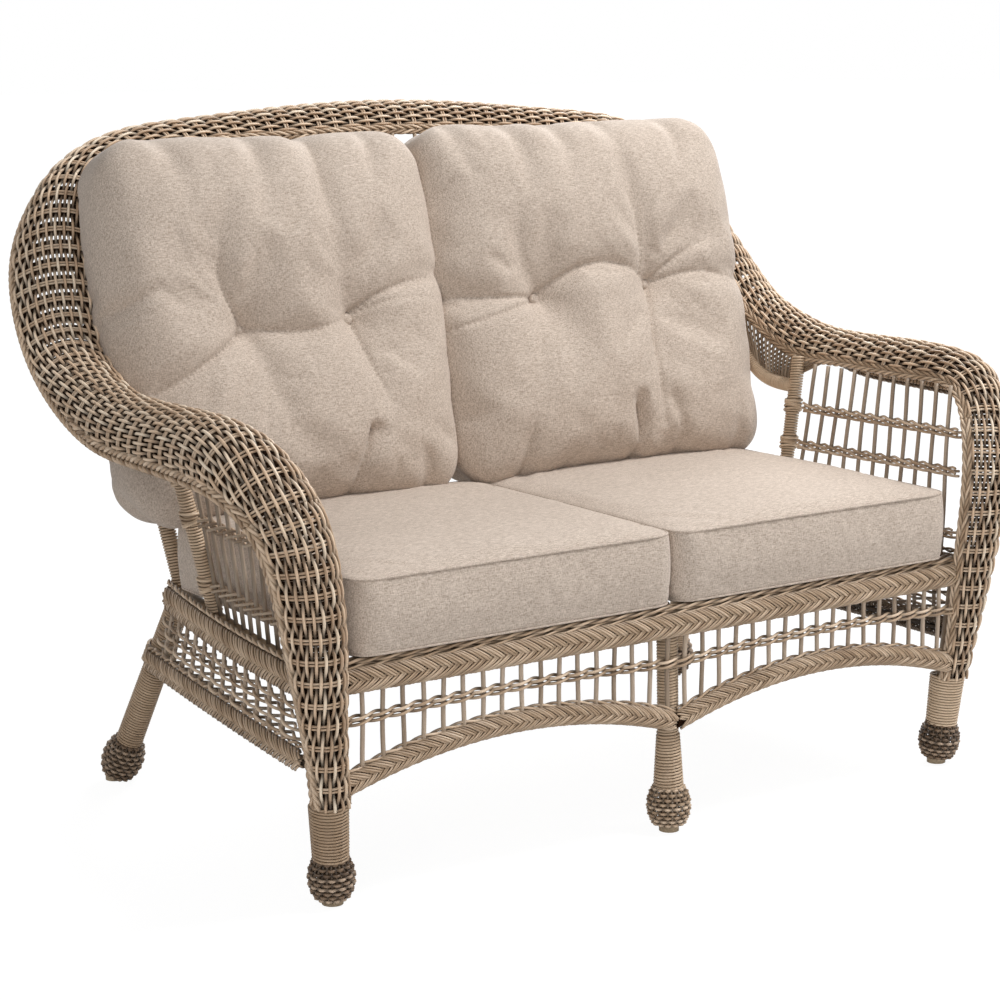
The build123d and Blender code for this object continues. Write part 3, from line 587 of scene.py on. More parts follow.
x = np.linspace(-531, 531, 430)
braid_line = across_front(x, BRAID_Z + 1.0)
build_one(lambda weave: plait(weave, braid_line, FRONT, 17.5, 10.0, 20.0, 1.75, 56.0), "braid_front",
          CANE_BORDER, "braid")
core("braid_front", [(braid_line, 17.5, 10.0)])
weave = Weave()
for back in (0.0, 7.5, 15.0):
    rope(weave, across_front(x, SEAT_Z - 4.4) - FRONT * back, FRONT, 2, 2.0, 2.2, 60.0, 1, phase=back)
rope(weave, across_front(x, SEAT_Z - 11.0), FRONT, 2, 2.4, 1.9, 74.0, 1)
weave.build("rope_front_cane", CANE_BORDER, "braid", "rope_front")
weave = Weave()
painted_shade_cores = []
for side in (-1, 1):
    half = side * np.linspace(2, 527, 230)[::side]
    line = across_front(half, low_z(half) + 2.0)
    plait(weave, line, FRONT, 14.5, 9.0, 18.0, 1.6, 48.0)
    rope(weave, across_front(half, low_z(half) + 18.0), FRONT, 2, 2.1, 2.0, 60.0, side)
    painted_shade_cores.append((line, 14.5, 9.0))
weave.build("braid_low_front_cane", CANE_BORDER, "braid", "braid_low_front")
core("braid_low_front", painted_shade_cores)

weave = Weave()
for index in range(17):
    for side in (-1, 1):
        sx = side * FRONT_PITCH * (index + 0.5)
        z = np.linspace(low_z(sx) + 9, BRAID_Z - 6, 9)
        points = across_front(sx + 0 * z, z)
        points[:, 0] += 0.8 * np.sin(z / 21.0 + index * 2.1)
        weave.strand(points, FRONT, SPOKE_R, 8)
weave.build("spokes_front_cane", CANE_SPOKE, "spoke", "spokes_front")
weave = Weave()
x = np.linspace(-529, 529, 500)
for row in (0, 1):
    line = across_front(x, 244.0 + 9.0 * swag(x) + 6.8 * (row - 0.5))
    pairing(weave, line, FRONT, x / FRONT_PITCH + 0.5 + row, 2.2, 5.2, 2.2)
weave.build("rows_front_cane", CANE_BORDER, "twisted_row", "rows_front")


def bowed(points, y):
    """Places at depths y on the bowed line through three points."""
    front, middle, rear = (np.asarray(p, float) for p in points)
    y = np.atleast_1d(np.asarray(y, float))
    share = ((y - front[1]) / (rear[1] - front[1]))[:, None]
    bend = (middle[1] - front[1]) / (rear[1] - front[1])
    lift = middle - (front + (rear - front) * bend)
    return front + (rear - front) * share + lift * (share * (1 - share) / (bend * (1 - bend)))


RAIL = ((552.0, -336.4, 303.0), (522.3, -60.0, 303.0), (471.3, 205.2, 303.0))
RAIL_OUT = np.array([0.989, 0.147, 0.0])
SIDE_BRAID = [np.array(p) + RAIL_OUT * 22.5 + np.array([0, 0, BRAID_Z - FRAME_Z]) for p in RAIL]
LOW_SIDE = ((572.0, -302.0, 195.6), (552.0, -36.0, 202.6), (514.0, 240.0, 201.6))
SIDE_FIRST, SIDE_LAST = -302.0, 211.0
SIDE_PITCH = (SIDE_LAST - SIDE_FIRST) / 13


def side_braid(weave, points, y, plaiting, painted_shade_heart, rise, cord, hand):
    """A plait round a near-black heart of painted shade with a rope on top of it, along a bowed line."""
    line = bowed(points, y)
    plait(weave, line, RAIL_OUT, *plaiting)
    # Painted shade: a near-black strand inside the plait darkens its gaps.
    weave.strand(line - RAIL_OUT * 3.0, RAIL_OUT, painted_shade_heart, 6, tone=0.0, painted_shade=0.05)
    rope(weave, line + UP * rise, RAIL_OUT, 2, 2.2, cord, 40.0, hand)


def make_side_braid(weave):
    y = np.linspace(-330, 206, 220)
    side_braid(weave, SIDE_BRAID, y, (19.0, 10.0, 19.0, 1.75, -54.0), 4.5, 24.0, 2.1, 1)


def make_low_side_braid(weave):
    y = np.linspace(-322, 238, 226)
    side_braid(weave, LOW_SIDE, y, (16.0, 9.0, 18.0, 1.65, -48.0), 4.0, 20.0, 2.0, -1)


def make_side_spokes(weave):
    for index in range(12):
        y = SIDE_FIRST + SIDE_PITCH * (index + 1)
        low, top = bowed(LOW_SIDE, y), bowed(SIDE_BRAID, y)
        weave.strand(low + (top - low) * np.linspace(0.10, 0.85, 7)[:, None], RAIL_OUT, SPOKE_R, 8)


def make_side_rows(weave):
    y = np.linspace(-306, 204, 240)
    low, top = bowed(LOW_SIDE, y), bowed(SIDE_BRAID, y)
    for z in (224.0, 237.0, 252.0, 266.0):
        share = ((z - low[:, 2]) / (top[:, 2] - low[:, 2]))[:, None]
        line = low + (top - low) * share
        pairing(weave, line, RAIL_OUT, (y - SIDE_FIRST) / SIDE_PITCH + z / math.pi, 2.3, 5.2, 3.0)


build_pair(make_side_braid, "braid_side", CANE_BORDER, "braid")
build_pair(make_low_side_braid, "braid_low_side", CANE_BORDER, "braid")
build_pair(make_side_spokes, "spokes_side", CANE_SPOKE, "spoke")
build_pair(make_side_rows, "rows_side", CANE_BORDER, "twisted_row")


# Arm panels

ARM_TOP_X, ARM_TOP_Z = 560.3, 574.0
ARM_IN = np.array([-1.0, 0.0, 0.2])
ARM_FIRST, ARM_LAST = -294.0, 6.0
ARM_PITCH = (ARM_LAST - ARM_FIRST) / 10
ARM_ROW_ZS = (352.5, 445.9, 504.4)


def panel_place(y, z):
    rail_x = bowed(RAIL, y)[:, 0]
    share = (z - FRAME_Z) / (ARM_TOP_Z - FRAME_Z)
    return np.stack([rail_x + (ARM_TOP_X - rail_x) * share, y, np.broadcast_to(z, y.shape)], -1)


def make_arm_spokes(weave):
    for index in range(11):
        z = np.linspace(FRAME_Z + 11, ARM_TOP_Z, 12)
        points = panel_place(np.full_like(z, ARM_FIRST + ARM_PITCH * index), z)
        points[:, 1] += 1.2 * np.sin(z / 34.0 + index)
        weave.strand(points, ARM_IN, SPOKE_R, 8)


def make_arm_rows(weave):
    y = np.linspace(-318, 20, 200)
    for z in ARM_ROW_ZS:
        for row in (0, 1):
            line = panel_place(y, z + 7.5 * (row - 0.5))
            pairing(weave, line, ARM_IN, (y - ARM_FIRST) / ARM_PITCH + row, 2.1, 5.3, 2.6, 0.0)


build_pair(make_arm_spokes, "spokes_arm", CANE_SPOKE, "spoke")
build_pair(make_arm_rows, "rows_arm", CANE_BORDER, "twisted_row")


# Wound legs, posts and tubes

TURN_PITCH = 4.3
KNOT_TURNS = 5
ROUND_HINT = np.array([0.3, 1.0, 0.1])
FOOT_R, FOOT_END_R, FOOT_STAKES = 31.0, 22.0, 13


def winding(weave, ends, low_r, high_r, cane=2.1):
    """Close turns of cane round a straight line, or a bent one through three points."""
    at = length_along(ends)
    turns = at[-1] / TURN_PITCH
    share = np.linspace(0, 1, int(turns * 15) + 2)
    centre = spline(at, ends, share * at[-1])
    out = round_axis(unit(np.gradient(centre, axis=0)), ROUND_HINT, share * turns * 2 * math.pi)
    radius = low_r + (high_r - low_r) * share - cane
    weave.strand(centre + out * radius[:, None], out, cane, 5)


def leg_line(foot, top):
    """The ends of a leg's line, from shares of the half width and the half depth."""
    low = np.array([HALF_WIDTH * foot[0], HALF_DEPTH * foot[1], 0.0])
    return low, np.array([HALF_WIDTH * top[0], HALF_DEPTH * top[1], FRAME_Z])


def at_height(line, z):
    share = (z - line[0][2]) / (line[1][2] - line[0][2])
    return line[0] + (line[1] - line[0]) * share


def shank(weave, line, low, high, low_r, high_r, cane=2.1):
    """The winding on a leg between two heights."""
    winding(weave, (at_height(line, low), at_height(line, high)), low_r, high_r, cane)


FRONT_LEG = leg_line((0.771, -0.788), (0.800, -0.841))
MID_LEG = leg_line((0.0, -0.835), (0.0, -0.815))
REAR_LEG = leg_line((0.770, 0.830), (0.683, 0.513))


def knot(weave, line, z, radius, cane):
    """A few loose turns of cane where a row passes round a post."""
    centre, along = at_height(line, z), unit(line[1] - line[0])
    for turn in range(KNOT_TURNS):
        angle = np.linspace(0, 2 * math.pi, 20, endpoint=False)
        tilt = 0.22 * radius * np.sin(angle + turn)[:, None]
        out = round_axis(along, ROUND_HINT, angle)
        middle = centre + along * ((turn - (KNOT_TURNS - 1) / 2) * cane * 1.8)
        weave.strand(middle + out * radius + along * tilt, out, cane, 5, closed=True)


def make_rear_wrap(weave):
    shank(weave, REAR_LEG, 63, 300, 20.5, 18.5)
    knot(weave, REAR_LEG, 297, 21.5, 2.5)
    knot(weave, REAR_LEG, 203, 22.5, 2.5)


def make_middle_wrap(weave):
    shank(weave, MID_LEG, 63, 140, 22.0, 17.0)
    shank(weave, MID_LEG, 140, 285, 15.4, 15.4, 2.0)


def woven_foot(weave, line):
    """A ball of rows woven round stakes."""
    low, high = at_height(line, 9), at_height(line, 65)
    axis = unit(high - low)
    hint = np.array([0.1, 1.0, 0.0])
    length = np.linalg.norm(high - low)
    half, bulge = length / 2, FOOT_R - FOOT_END_R
    ball = (half ** 2 + bulge ** 2) / (2 * bulge)

    def profile(height):
        return FOOT_R - ball + np.sqrt(np.maximum(ball ** 2 - (height - half) ** 2, 0))

    for stake in range(FOOT_STAKES * 2):
        height = np.linspace(1, length - 1, 12)
        out = round_axis(axis, hint, math.pi * stake / FOOT_STAKES)
        path = low + axis * height[:, None] + out * (profile(height) - 4.2)[:, None]
        # Painted shade: the stakes under the rows are darkened to about a third.
        weave.strand(path, out, 1.7, 5, painted_shade=0.35)
    for row in range(9):
        height = 3 + (length - 6) * row / 8
        turn = np.linspace(0, 2 * math.pi, FOOT_STAKES * 8, endpoint=False)
        wave = 1.8 * np.cos(FOOT_STAKES * turn + math.pi * row)
        out = round_axis(axis, hint, turn)
        radius = profile(height) - 2.6 + wave
        path = low + axis * height + out * radius[:, None]
        # Painted shade: rows are darker where they pass behind a stake.
        weave.strand(path, out, 2.2, 6, closed=True, painted_shade=0.55 + 0.24 * wave)


build_pair(lambda weave: shank(weave, FRONT_LEG, 63, 138, 24.5, 27.0), "wrap_front", CANE_WRAP, "wrapping")
build_pair(make_rear_wrap, "wrap_back", CANE_WRAP, "wrapping")
for label, line in (("foot_front", FRONT_LEG), ("foot_back", REAR_LEG)):
    build_pair(lambda weave: woven_foot(weave, line), label, CANE_FOOT, "woven_foot")
build_one(make_middle_wrap, "wrap_middle", CANE_WRAP, "wrapping")
build_one(lambda weave: woven_foot(weave, MID_LEG), "foot_middle", CANE_BORDER, "woven_foot")

POST = bowed(RAIL, 30.0)[0], np.array([HALF_WIDTH * 0.820, HALF_DEPTH * 0.135, HEIGHT * 0.586])
WINDOW = np.array([
    POST[0] + (POST[1] - POST[0]) * 0.83,
    (HALF_WIDTH * 0.815, HALF_DEPTH * 0.370, HEIGHT * 0.552),
    (HALF_WIDTH * 0.816, HALF_DEPTH * 0.540, HEIGHT * 0.634),
])


def make_arm_post(weave):
    winding(weave, (POST[0] + (POST[1] - POST[0]) * 0.04, POST[1]), 11.6, 11.6, 2.0)
    for z in ARM_ROW_ZS:
        knot(weave, POST, z, 13.0, 2.2)


build_pair(make_arm_post, "post_arm", CANE_WRAP, "wrapping")
build_pair(lambda weave: winding(weave, WINDOW, 11.4, 11.4, 2.0), "tube_window", CANE_WRAP, "wrapping")


# Loose strands that cross between the wing's inner edge and the window tube

CROSSINGS = 26


def make_crossings(weave):
    edge = Band(np.linspace(STATION_AT[9] - 60, STATION_AT[12] - 40, CROSSINGS)).at(3.0)[0]
    tube = spline((0.0, 0.5, 1.0), WINDOW, np.linspace(0.02, 0.98, CROSSINGS))
    sideways = np.array([1.0, 0.0, 0.0])
    share = np.linspace(0, 1, 8)[:, None]
    for shift in (-5, 5):
        for index in range(max(0, -shift), min(CROSSINGS, CROSSINGS - shift)):
            path = edge[index] + (tube[index + shift] - edge[index]) * share
            path = path + sideways * (1.8 * np.sign(shift)) * np.sin(math.pi * share)
            # Painted shade: the crossing strands are darkened by a fifth.
            weave.strand(path, sideways, 2.3, 5, painted_shade=0.8)


build_pair(make_crossings, "tube_window", CANE_BORDER, "wrapping", "crossings")


# Back panel

BACK_FOOT_Y, BACK_SLOPE = 205.2, (370.0 + 4.5 - 205.2) / (941.4 - FRAME_Z)
BACK_REACH = HALF_WIDTH * 0.652
BACK_PITCH = BACK_REACH / 11
BACK_OUT = unit(np.array([0.0, -1.0, BACK_SLOPE]))
TOP_EDGE = Band(np.linspace(STATION_AT[13], STATION_AT[18], 200)).at(0.0)[0]


def back_place(x, z):
    x, z = np.broadcast_arrays(x, z)
    return np.stack([x, BACK_FOOT_Y + BACK_SLOPE * (z - FRAME_Z), z], -1)


def make_back_post(weave):
    low, high = REAR_LEG[1], back_place(HALF_WIDTH * 0.772, HEIGHT * 0.818)
    winding(weave, (low + (high - low) * 0.02, high), 12.6, 12.6, 2.0)


def make_back_spokes(weave):
    for index in range(-11, 12):
        x = BACK_PITCH * index
        top_z = np.interp(abs(x), TOP_EDGE[::-1, 0], TOP_EDGE[::-1, 2])
        z = np.linspace(FRAME_Z + 9, top_z + 3, 24)
        weave.strand(back_place(x + np.sin(z / 40.0 + index), z), BACK_OUT, SPOKE_R, 8)


def make_back_rows(weave):
    for share in (0.45, 0.64, 0.82):
        z = HEIGHT * share
        reach = 490 + (z - 447) * 0.12
        x = np.linspace(-reach, reach, 480)
        for row in (0, 1):
            line = back_place(x, z + 8.0 * (row - 0.5))
            pairing(weave, line, BACK_OUT, x / BACK_PITCH + row, 2.1, 5.2, 2.8, 0.0)


build_pair(make_back_post, "post_back", CANE_WRAP, "wrapping")
build_one(make_back_spokes, "spokes_back", CANE_SPOKE, "spoke")
build_one(make_back_rows, "rows_back", CANE_BORDER, "twisted_row")


# Cushions

LEAN = math.atan(BACK_SLOPE)
ALONG = np.array([0.0, math.sin(LEAN), math.cos(LEAN)])
FACING = np.array([0.0, -math.cos(LEAN), math.sin(LEAN)])


def bake_modifiers(piece):
    graph = bpy.context.evaluated_depsgraph_get()
    done = bpy.data.meshes.new_from_object(piece.evaluated_get(graph))
    piece.modifiers.clear()
    old = piece.data
    piece.data = done
    bpy.data.meshes.remove(old)


def coordinates(piece):
    co = np.zeros(len(piece.data.vertices) * 3)
    piece.data.vertices.foreach_get("co", co)
    return co.reshape(-1, 3)


def set_coordinates(piece, co):
    piece.data.vertices.foreach_set("co", np.asarray(co).ravel())
    piece.data.update()


def box_grid(nu, nv, nw):
    """The surface grid of a box: unit places, faces, and the loops where front and back meet the sides."""
    index, places, faces = {}, [], []

    def vertex(i, j, k):
        key = (i, j, k)
        if key not in index:
            index[key] = len(places)
            places.append((2 * i / nu - 1, 2 * j / nv - 1, 2 * k / nw - 1))
        return index[key]

    for i in range(nu):
        for j in range(nv):
            square = [(i, j), (i + 1, j), (i + 1, j + 1), (i, j + 1)]
            faces.append([vertex(p, q, nw) for p, q in square])
            faces.append([vertex(p, q, 0) for p, q in square[:1] + square[:0:-1]])
    rim = ([(i, 0) for i in range(nu)] + [(nu, j) for j in range(nv)]
           + [(i, nv) for i in range(nu, 0, -1)] + [(0, j) for j in range(nv, 0, -1)])
    for (i, j), (p, q) in zip(rim, rim[1:] + rim[:1]):
        for k in range(nw):
            faces.append([vertex(i, j, k), vertex(p, q, k), vertex(p, q, k + 1), vertex(i, j, k + 1)])
    loops = [[vertex(i, j, k) for i, j in rim] for k in (nw, 0)]
    return np.array(places), faces, loops


def pillow(a, b, c, edge, corner, counts):
    """A box of half sizes a, b and c with round edges and rounder corners."""
    unit_places, faces, loops = box_grid(*counts)
    x, y, w = unit_places[:, 0] * a, unit_places[:, 1] * b, unit_places[:, 2] * c
    core_x = np.clip(x, -(a - corner), a - corner)
    core_y = np.clip(y, -(b - corner), b - corner)
    dx, dy = x - core_x, y - core_y
    reach = np.maximum(np.abs(dx), np.abs(dy))
    length = np.maximum(np.hypot(dx, dy), 1e-9)
    dx, dy = dx / length, dy / length
    inner = np.minimum(reach, corner - edge)
    core = np.stack([core_x + dx * inner, core_y + dy * inner, np.clip(w, -(c - edge), c - edge)], -1)
    place = np.stack([core_x + dx * reach, core_y + dy * reach, w], -1)
    away = place - core
    size = np.linalg.norm(away, axis=1, keepdims=True)
    return core + away / np.maximum(size, 1e-9) * np.where(size > 1e-6, edge, 0), faces, loops, unit_places


def solid_object(name, verts, faces):
    mesh = bpy.data.meshes.new(name)
    mesh.from_pydata([tuple(v) for v in (verts + ORIGIN) * 0.001], [], faces)
    mesh.update()
    return linked(name, mesh)


def inflate(piece, held, pressure, growth, cap, frames):
    """Blows a cushion up as loose cloth with some points held, and caps how far each point moves."""
    start = coordinates(piece)
    group = piece.vertex_groups.new(name="held")
    group.add([int(i) for i in np.flatnonzero(held)], 1.0, "REPLACE")
    cloth = piece.modifiers.new("cloth", "CLOTH")
    settings = cloth.settings
    settings.effector_weights.gravity = 0
    for key, value in dict(
        use_pressure=True, uniform_pressure_force=pressure, shrink_min=growth, quality=5, mass=0.3,
        tension_stiffness=20, compression_stiffness=8, bending_stiffness=0.4, vertex_group_mass="held",
    ).items():
        setattr(settings, key, value)
    cloth.collision_settings.use_collision = False
    scene = bpy.context.scene
    for number in range(1, frames + 1):
        scene.frame_set(number)
    bake_modifiers(piece)
    scene.frame_set(1)
    piece.vertex_groups.clear()
    moved = coordinates(piece) - start
    length = np.linalg.norm(moved, axis=1, keepdims=True)
    set_coordinates(piece, start + moved * np.minimum(1, cap / np.maximum(length, 1e-9)))


def cover(piece, material):
    piece.data.materials.clear()
    piece.data.materials.append(material)


def dress_cushion(piece, node_name):
    cover(piece, CLOTH)
    piece.data.polygons.foreach_set("use_smooth", np.ones(len(piece.data.polygons), bool))
    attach(piece, node_name + "_body")
    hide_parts(node_name)


def welt(piece, name, loop, node_name):
    """A sewn seam along one loop of a cushion's grid."""
    line = coordinates(piece)[loop] * 1000 - ORIGIN
    for _ in range(4):
        line = (np.roll(line, 1, 0) + 2 * line + np.roll(line, -1, 0)) / 4
    out = unit(line - line.mean(0))
    weave = Weave()
    weave.strand(line + out * SEAM_R * 0.5, out, SEAM_R, 8, closed=True)
    made = weave.build(name, CLOTH, "seat_cloth", node_name, body=node_name + "_body")


SEAM_R = 1.7
SEAT_HALF = (254.0, 252.0, 49.5)
SEAT_PLACE = np.array([256.5, -98.0, 326.4 + SEAT_HALF[2]])


def make_seat(side):
    hand = 1 if side == "right" else -1
    node_name = "seat_cushion_" + side
    verts, faces, loops, _ = pillow(*SEAT_HALF, 5.0, 30.0, (84, 84, 18))
    outward = verts[:, :2] / np.array(SEAT_HALF[:2])
    crown = np.sqrt(np.clip((1 - outward ** 2).prod(1), 0, 1))
    verts[:, 2] += np.where(verts[:, 2] > 30, 10.0 * crown, 0)
    belly = np.clip(1 - (verts[:, 2] / 50) ** 2, 0, 1)
    far = np.clip((np.abs(outward) - 0.9) / 0.1, 0, 1) * np.sign(outward)
    verts[:, :2] += far * (4.0 * belly)[:, None]
    seat = solid_object("seat_pad_" + side, verts + SEAT_PLACE * np.array([hand, 1.0, 1.0]), faces)
    held = coordinates(seat)[:, 2] < 0.340
    held[loops[0]] = True
    inflate(seat, held, 1.2, -0.006, 0.006, 10)
    dress_cushion(seat, node_name)
    for label, loop in zip(("top_", "low_"), loops):
        welt(seat, "seat_seam_" + label + side, loop, node_name)


# Back cushions: outlines, buttons, broad valleys and sharp creases

LEFT_BACK = {
    "middle": -306.0, "half_width": 264.0, "bottom": 424.0, "top": 941.0, "slant": -10.0,
    "buttons": ((-386, 678), (-210, 681)),
    "valleys": (
        (((-386, 690), (-420, 742), (-417, 800), (-400, 850)), 26, 22),
        (((-392, 672), (-467, 629), (-545, 592)), 22, 18),
        (((-380, 668), (-362, 595), (-335, 520)), 24, 14),
        (((-383, 680), (-300, 664), (-213, 681)), 26, 26), (((-207, 690), (-150, 716), (-60, 732)), 22, 18),
        (((-206, 674), (-200, 616), (-172, 545)), 24, 16),
        (((-235, 960), (-240, 870), (-235, 800), (-215, 700)), 24, 18),
        (((-590, 708), (-552, 722), (-515, 738)), 14, 12),
        (((-214, 520), (-233, 482), (-252, 426)), 16, 16),
        (((-470, 950), (-455, 880), (-452, 830)), 18, 10),
        (((-330, 950), (-335, 880), (-345, 830)), 18, 10), (((-140, 950), (-150, 890), (-160, 850)), 15, 9),
        (((-120, 430), (-125, 480), (-140, 530)), 16, 10), (((-420, 430), (-410, 480), (-400, 520)), 16, 8),
    ),
    "creases": (
        (((-388, 690), (-418, 735), (-418, 790)), 5, 6), (((-395, 671), (-467, 629), (-538, 596)), 5, 9),
        (((-385, 680), (-300, 666), (-212, 682)), 5, 7), (((-207, 690), (-150, 716), (-75, 730)), 4, 9),
        (((-205, 688), (-150, 700), (-70, 700)), 4, 5), (((-206, 674), (-200, 620), (-178, 555)), 4, 6),
        (((-218, 520), (-233, 482), (-252, 430)), 5, 9), (((-588, 708), (-552, 722), (-520, 737)), 4, 7),
        (((-588, 690), (-560, 702), (-535, 708)), 4, 6), (((-230, 944), (-238, 880), (-236, 820)), 5, 4),
    ),
}
RIGHT_BACK = {
    "middle": 250.0, "half_width": 290.0, "bottom": 424.0, "top": 948.0, "slant": 2.0,
    "buttons": ((131, 689), (346, 699)),
    "valleys": (
        (((131, 692), (203, 728), (268, 730), (346, 702)), 26, 26),
        (((125, 690), (3, 697), (-90, 714)), 24, 20), (((350, 702), (385, 728), (445, 755)), 18, 16),
        (((352, 699), (406, 708), (560, 690)), 24, 20),
        (((345, 690), (328, 638), (314, 566), (318, 460)), 24, 20),
        (((128, 700), (98, 737), (92, 800)), 22, 16),
        (((344, 710), (325, 762), (309, 840), (300, 960)), 24, 20),
        (((130, 680), (112, 640), (98, 590)), 20, 14), (((268, 520), (270, 480), (266, 426)), 14, 16),
        (((330, 520), (345, 480), (352, 426)), 14, 12), (((20, 970), (30, 900), (45, 840)), 18, 11),
        (((120, 970), (128, 900), (120, 850)), 18, 11), (((205, 970), (205, 900), (195, 850)), 18, 11),
        (((430, 970), (425, 900), (415, 860)), 16, 10), (((60, 426), (60, 470), (75, 520)), 14, 10),
        (((480, 426), (470, 480), (468, 520)), 16, 9),
    ),
    "creases": (
        (((131, 695), (203, 729), (268, 731), (344, 704)), 5, 9),
        (((122, 691), (3, 697), (-80, 712)), 4, 8), (((125, 686), (11, 661), (-75, 644)), 4, 8),
        (((350, 702), (385, 728), (440, 752)), 4, 7), (((352, 700), (406, 709), (530, 694)), 4, 6),
        (((345, 692), (327, 640), (314, 566), (316, 480)), 5, 8),
        (((268, 510), (270, 480), (266, 430)), 5, 10), (((326, 713), (323, 762), (309, 833)), 4, 5),
        (((117, 682), (112, 646), (98, 607)), 4, 5), (((60, 428), (60, 460), (70, 500)), 4, 5),
    ),
}


def dense(points, step):
    """A smooth line through points, evenly stepped."""
    at = length_along(points)
    return spline(at, points, np.linspace(0, at[-1], max(3, int(at[-1] / step) + 1)))


def near_line(x, z, line):
    """The distance to a bent line, and the share of its length where it is nearest."""
    line = dense(np.array(line, float), 8.0)
    away = np.hypot(x[:, None] - line[None, :, 0], z[:, None] - line[None, :, 1])
    nearest = away.argmin(1)
    return away[np.arange(len(x)), nearest], nearest / (len(line) - 1)


def sunk(x, z, lines, power=1):
    """How deep the lines press in; a power above 1 keeps lines that meet from adding up."""
    total = np.zeros(len(x))
    for line, width, deep in lines:
        far, share = near_line(x, z, line)
        total += (deep * np.clip(1.15 - share, 0, 1) ** 0.6 * np.exp(-(far / width) ** 2)) ** power
    return total


def make_back(side):
    shape = RIGHT_BACK if side == "right" else LEFT_BACK
    node_name = "back_cushion_" + side
    a, c = shape["half_width"], 62.0
    b = (shape["top"] - shape["bottom"]) / 2 / ALONG[2]
    verts, faces, _, unit_places = pillow(a, b, c, 38.0, 58.0, (100, 96, 22))
    facing = np.clip(verts[:, 2] / c, 0, 1)
    round_share = np.clip(1 - (verts[:, 0] / a) ** 4, 0, 1) * np.clip(1 - (verts[:, 1] / b) ** 4, 0, 1)
    low_share = 0.5 - 0.5 * verts[:, 1] / b
    depth = verts[:, 2] + facing * round_share * (36.0 + 8.0 * low_share)
    side_share = np.clip(1 - (verts[:, 1] / b) ** 2, 0, 1)
    narrow = 1 + 0.016 * side_share - 0.055 * np.clip((0.3 - low_share) / 0.3, 0, 1) ** 2
    across = verts[:, 0] * narrow + shape["middle"] + shape["slant"] * (low_share - 0.5)
    foot = np.array([0.0, BACK_FOOT_Y, FRAME_Z]) + FACING * (14.0 + c)
    rise = (shape["bottom"] - foot[2]) / ALONG[2] + b + verts[:, 1]
    rise -= 24.0 * facing * np.clip((low_share - 0.82) / 0.18, 0, 1) ** 1.5
    sheet_z = foot[2] + FACING[2] * 42.0
    x, z = across, sheet_z + rise * ALONG[2]
    sink = np.zeros(len(x))
    held = np.zeros(len(x), bool)
    for bx, bz in shape["buttons"]:
        far = np.hypot(x - bx, z - bz)
        sink += (34.0 * np.exp(-(far / 56.0) ** 2) + 14.0 * np.exp(-far / 14.0)) ** 3
        held |= (far < 9.0) & (facing > 0.5)
    sink = np.cbrt(sink + sunk(x, z, shape["valleys"], 3))
    sink += 2.2 * np.sin(x / 31.0 + 1.7 * np.sin(z / 83.0)) * np.sin(z / 47.0 + x / 90.0)
    sink += 1.3 * np.sin(x / 13.0 + 2.2 * np.sin(z / 40.0)) * np.sin(z / 19.0 - x / 50.0)
    depth = depth - facing ** 0.6 * sink
    place = foot + rise[:, None] * ALONG + depth[:, None] * FACING
    place[:, 0] = across
    back = solid_object("back_pad_" + side, place, faces)
    held |= unit_places[:, 2] < -0.99
    inflate(back, held, 3.0, -0.024, 0.014, 14)
    finer = back.modifiers.new("finer", "SUBSURF")
    finer.levels = 1
    bake_modifiers(back)
    co = coordinates(back) * 1000 - ORIGIN
    normal = np.zeros(len(co) * 3)
    back.data.vertices.foreach_get("normal", normal)
    front = np.clip((normal.reshape(-1, 3) @ FACING - 0.1) / 0.5, 0, 1)
    sheet = sheet_z + ((co - foot) @ ALONG) * ALONG[2]
    co = co - FACING * (front * sunk(co[:, 0], sheet, shape["creases"]))[:, None]
    set_coordinates(back, (co + ORIGIN) * 0.001)
    dress_cushion(back, node_name)
    tree = BVHTree.FromObject(back, bpy.context.evaluated_depsgraph_get())
    weave = Weave()
    for bx, bz in shape["buttons"]:
        start = foot + ALONG * ((bz - sheet_z) / ALONG[2]) + FACING * 300.0
        start[0] = bx
        hit, _, _, _ = tree.ray_cast(Vector((start + ORIGIN) * 0.001), Vector(-FACING))
        centre = np.array(hit) * 1000 - ORIGIN
        lift = np.linspace(-4.0, 6.0, 10)
        size = 9.0 * np.sqrt(np.clip(1 - ((lift - 0.5) / 5.8) ** 2, 0.001, 1))
        weave.strand(centre + FACING * lift[:, None], UP, size, 20, tone=0.5)
    made = weave.build("button_caps_" + side, CLOTH, "button_cloth", "buttons_" + side,
                       body=node_name + "_body")


for side in ("right", "left"):
    make_seat(side)
    make_back(side)

for name, item in NODES.items():
    if name.startswith(("leg_", "rail_", "seat_slats")):
        cover(item, POLE)
    elif name == "glides":
        cover(item, GLIDE)
    elif name.startswith("buttons"):
        cover(item, CLOTH)


# Floor, light and camera

WHITE = (1.0, 1.0, 1.0, 1.0)


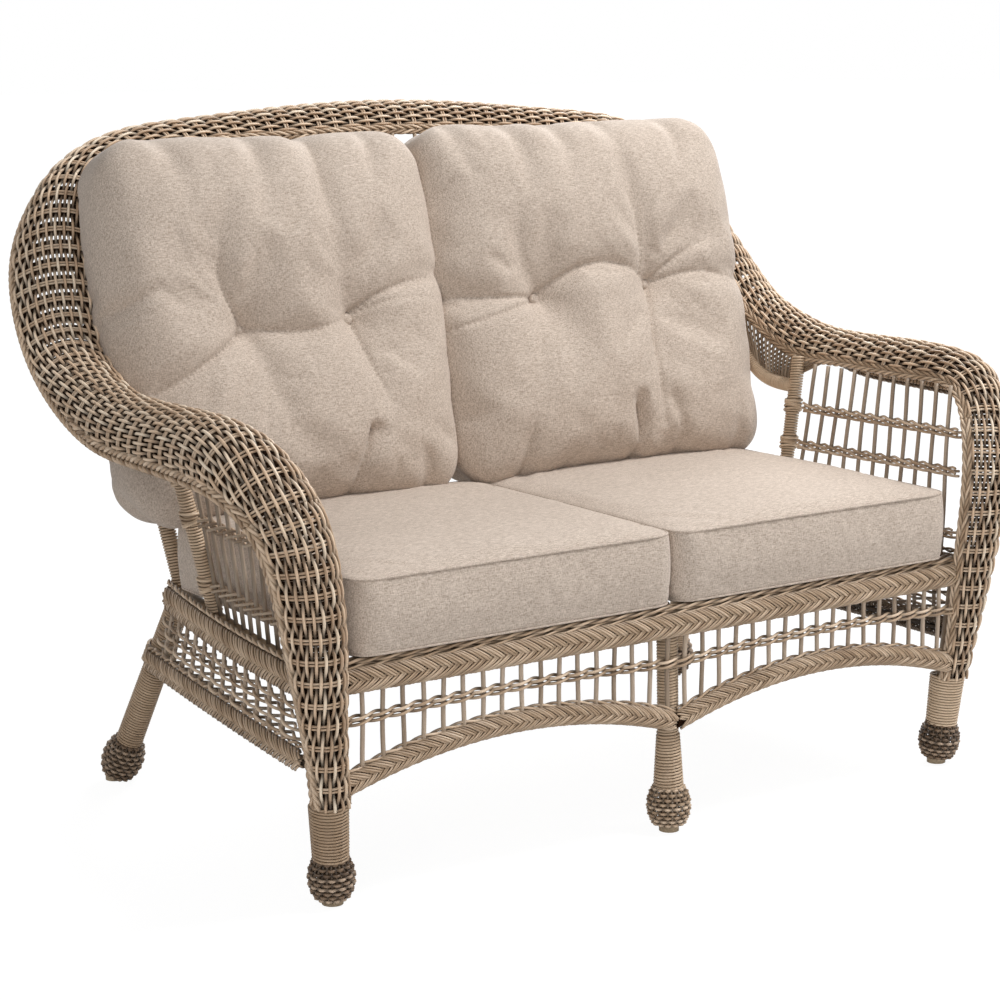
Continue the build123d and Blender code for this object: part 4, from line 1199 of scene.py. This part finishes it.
def make_floor():
    """A bright floor that fades into the white background away from the object."""
    mesh = bpy.data.meshes.new("floor")
    reach = 45.0
    corners = [(-reach, -reach, 0), (reach, -reach, 0), (reach, reach, 0), (-reach, reach, 0)]
    mesh.from_pydata(corners, [], [(0, 1, 2, 3)])
    material, tree, shader = nodes_of("floor")
    feed(tree, shader.inputs["Base Color"], (0.86, 0.86, 0.86, 1.0))
    feed(tree, shader.inputs["Roughness"], 0.9)
    place = node(tree, "TexCoord").outputs["Object"]
    far = node(tree, "VectorMath", place, operation="LENGTH").outputs["Value"]
    glow = node(tree, "Emission", WHITE, span(tree, far, 1.5, 6.0, 1.10, 1.17))
    most = maths(tree, "MULTIPLY", node(tree, "LightPath").outputs["Is Camera Ray"], 0.86)
    mix = node(tree, "MixShader", most, shader.outputs[0], glow.outputs[0])
    feed(tree, tree.nodes["Material Output"].inputs["Surface"], mix.outputs[0])
    mesh.materials.append(material)
    floor = linked("floor", mesh)


make_floor()


def area_light(name, place, target_z, size, power):
    """A square light that looks at a height on the object's middle line."""
    data = bpy.data.lights.new(name, "AREA")
    data.shape = "RECTANGLE"
    data.size = data.size_y = size
    data.energy = power
    lamp = linked(name, data)
    lamp.location = place
    lamp.rotation_euler = (Vector((0, 0, target_z)) - Vector(place)).to_track_quat("-Z", "Y").to_euler()


area_light("key", (1.9, -1.25, 3.7), 0.5, 1.2, 135)
area_light("rim", (2.2, 1.9, 2.6), 0.6, 1.4, 60)
area_light("fill", (-2.8, -3.0, 2.2), 0.5, 2.4, 50)

world = bpy.data.worlds.new("studio")
world.use_nodes = True
bpy.context.scene.world = world
tree = world.node_tree
background = tree.nodes["Background"]
rays = node(tree, "LightPath").outputs
seen = maths(tree, "MAXIMUM", rays["Is Camera Ray"], rays["Is Glossy Ray"])
feed(tree, background.inputs["Color"], WHITE)
feed(tree, background.inputs["Strength"], span(tree, seen, 0.0, 1.0, 0.24, 1.0))

camera_data = bpy.data.cameras.new("camera")
camera_data.sensor_width = 36.0
camera_data.lens = 86.4
camera_data.clip_end = 60.0
camera = linked("camera", camera_data)
camera.location = (-1.9931, -2.8576 + ORIGIN[1] * 0.001, 1.0859)
camera.rotation_euler = (math.radians(90 - 10.86), math.radians(0.35), math.radians(-34.21))
bpy.context.scene.camera = camera
bpy.context.scene.view_settings.view_transform = "Standard"
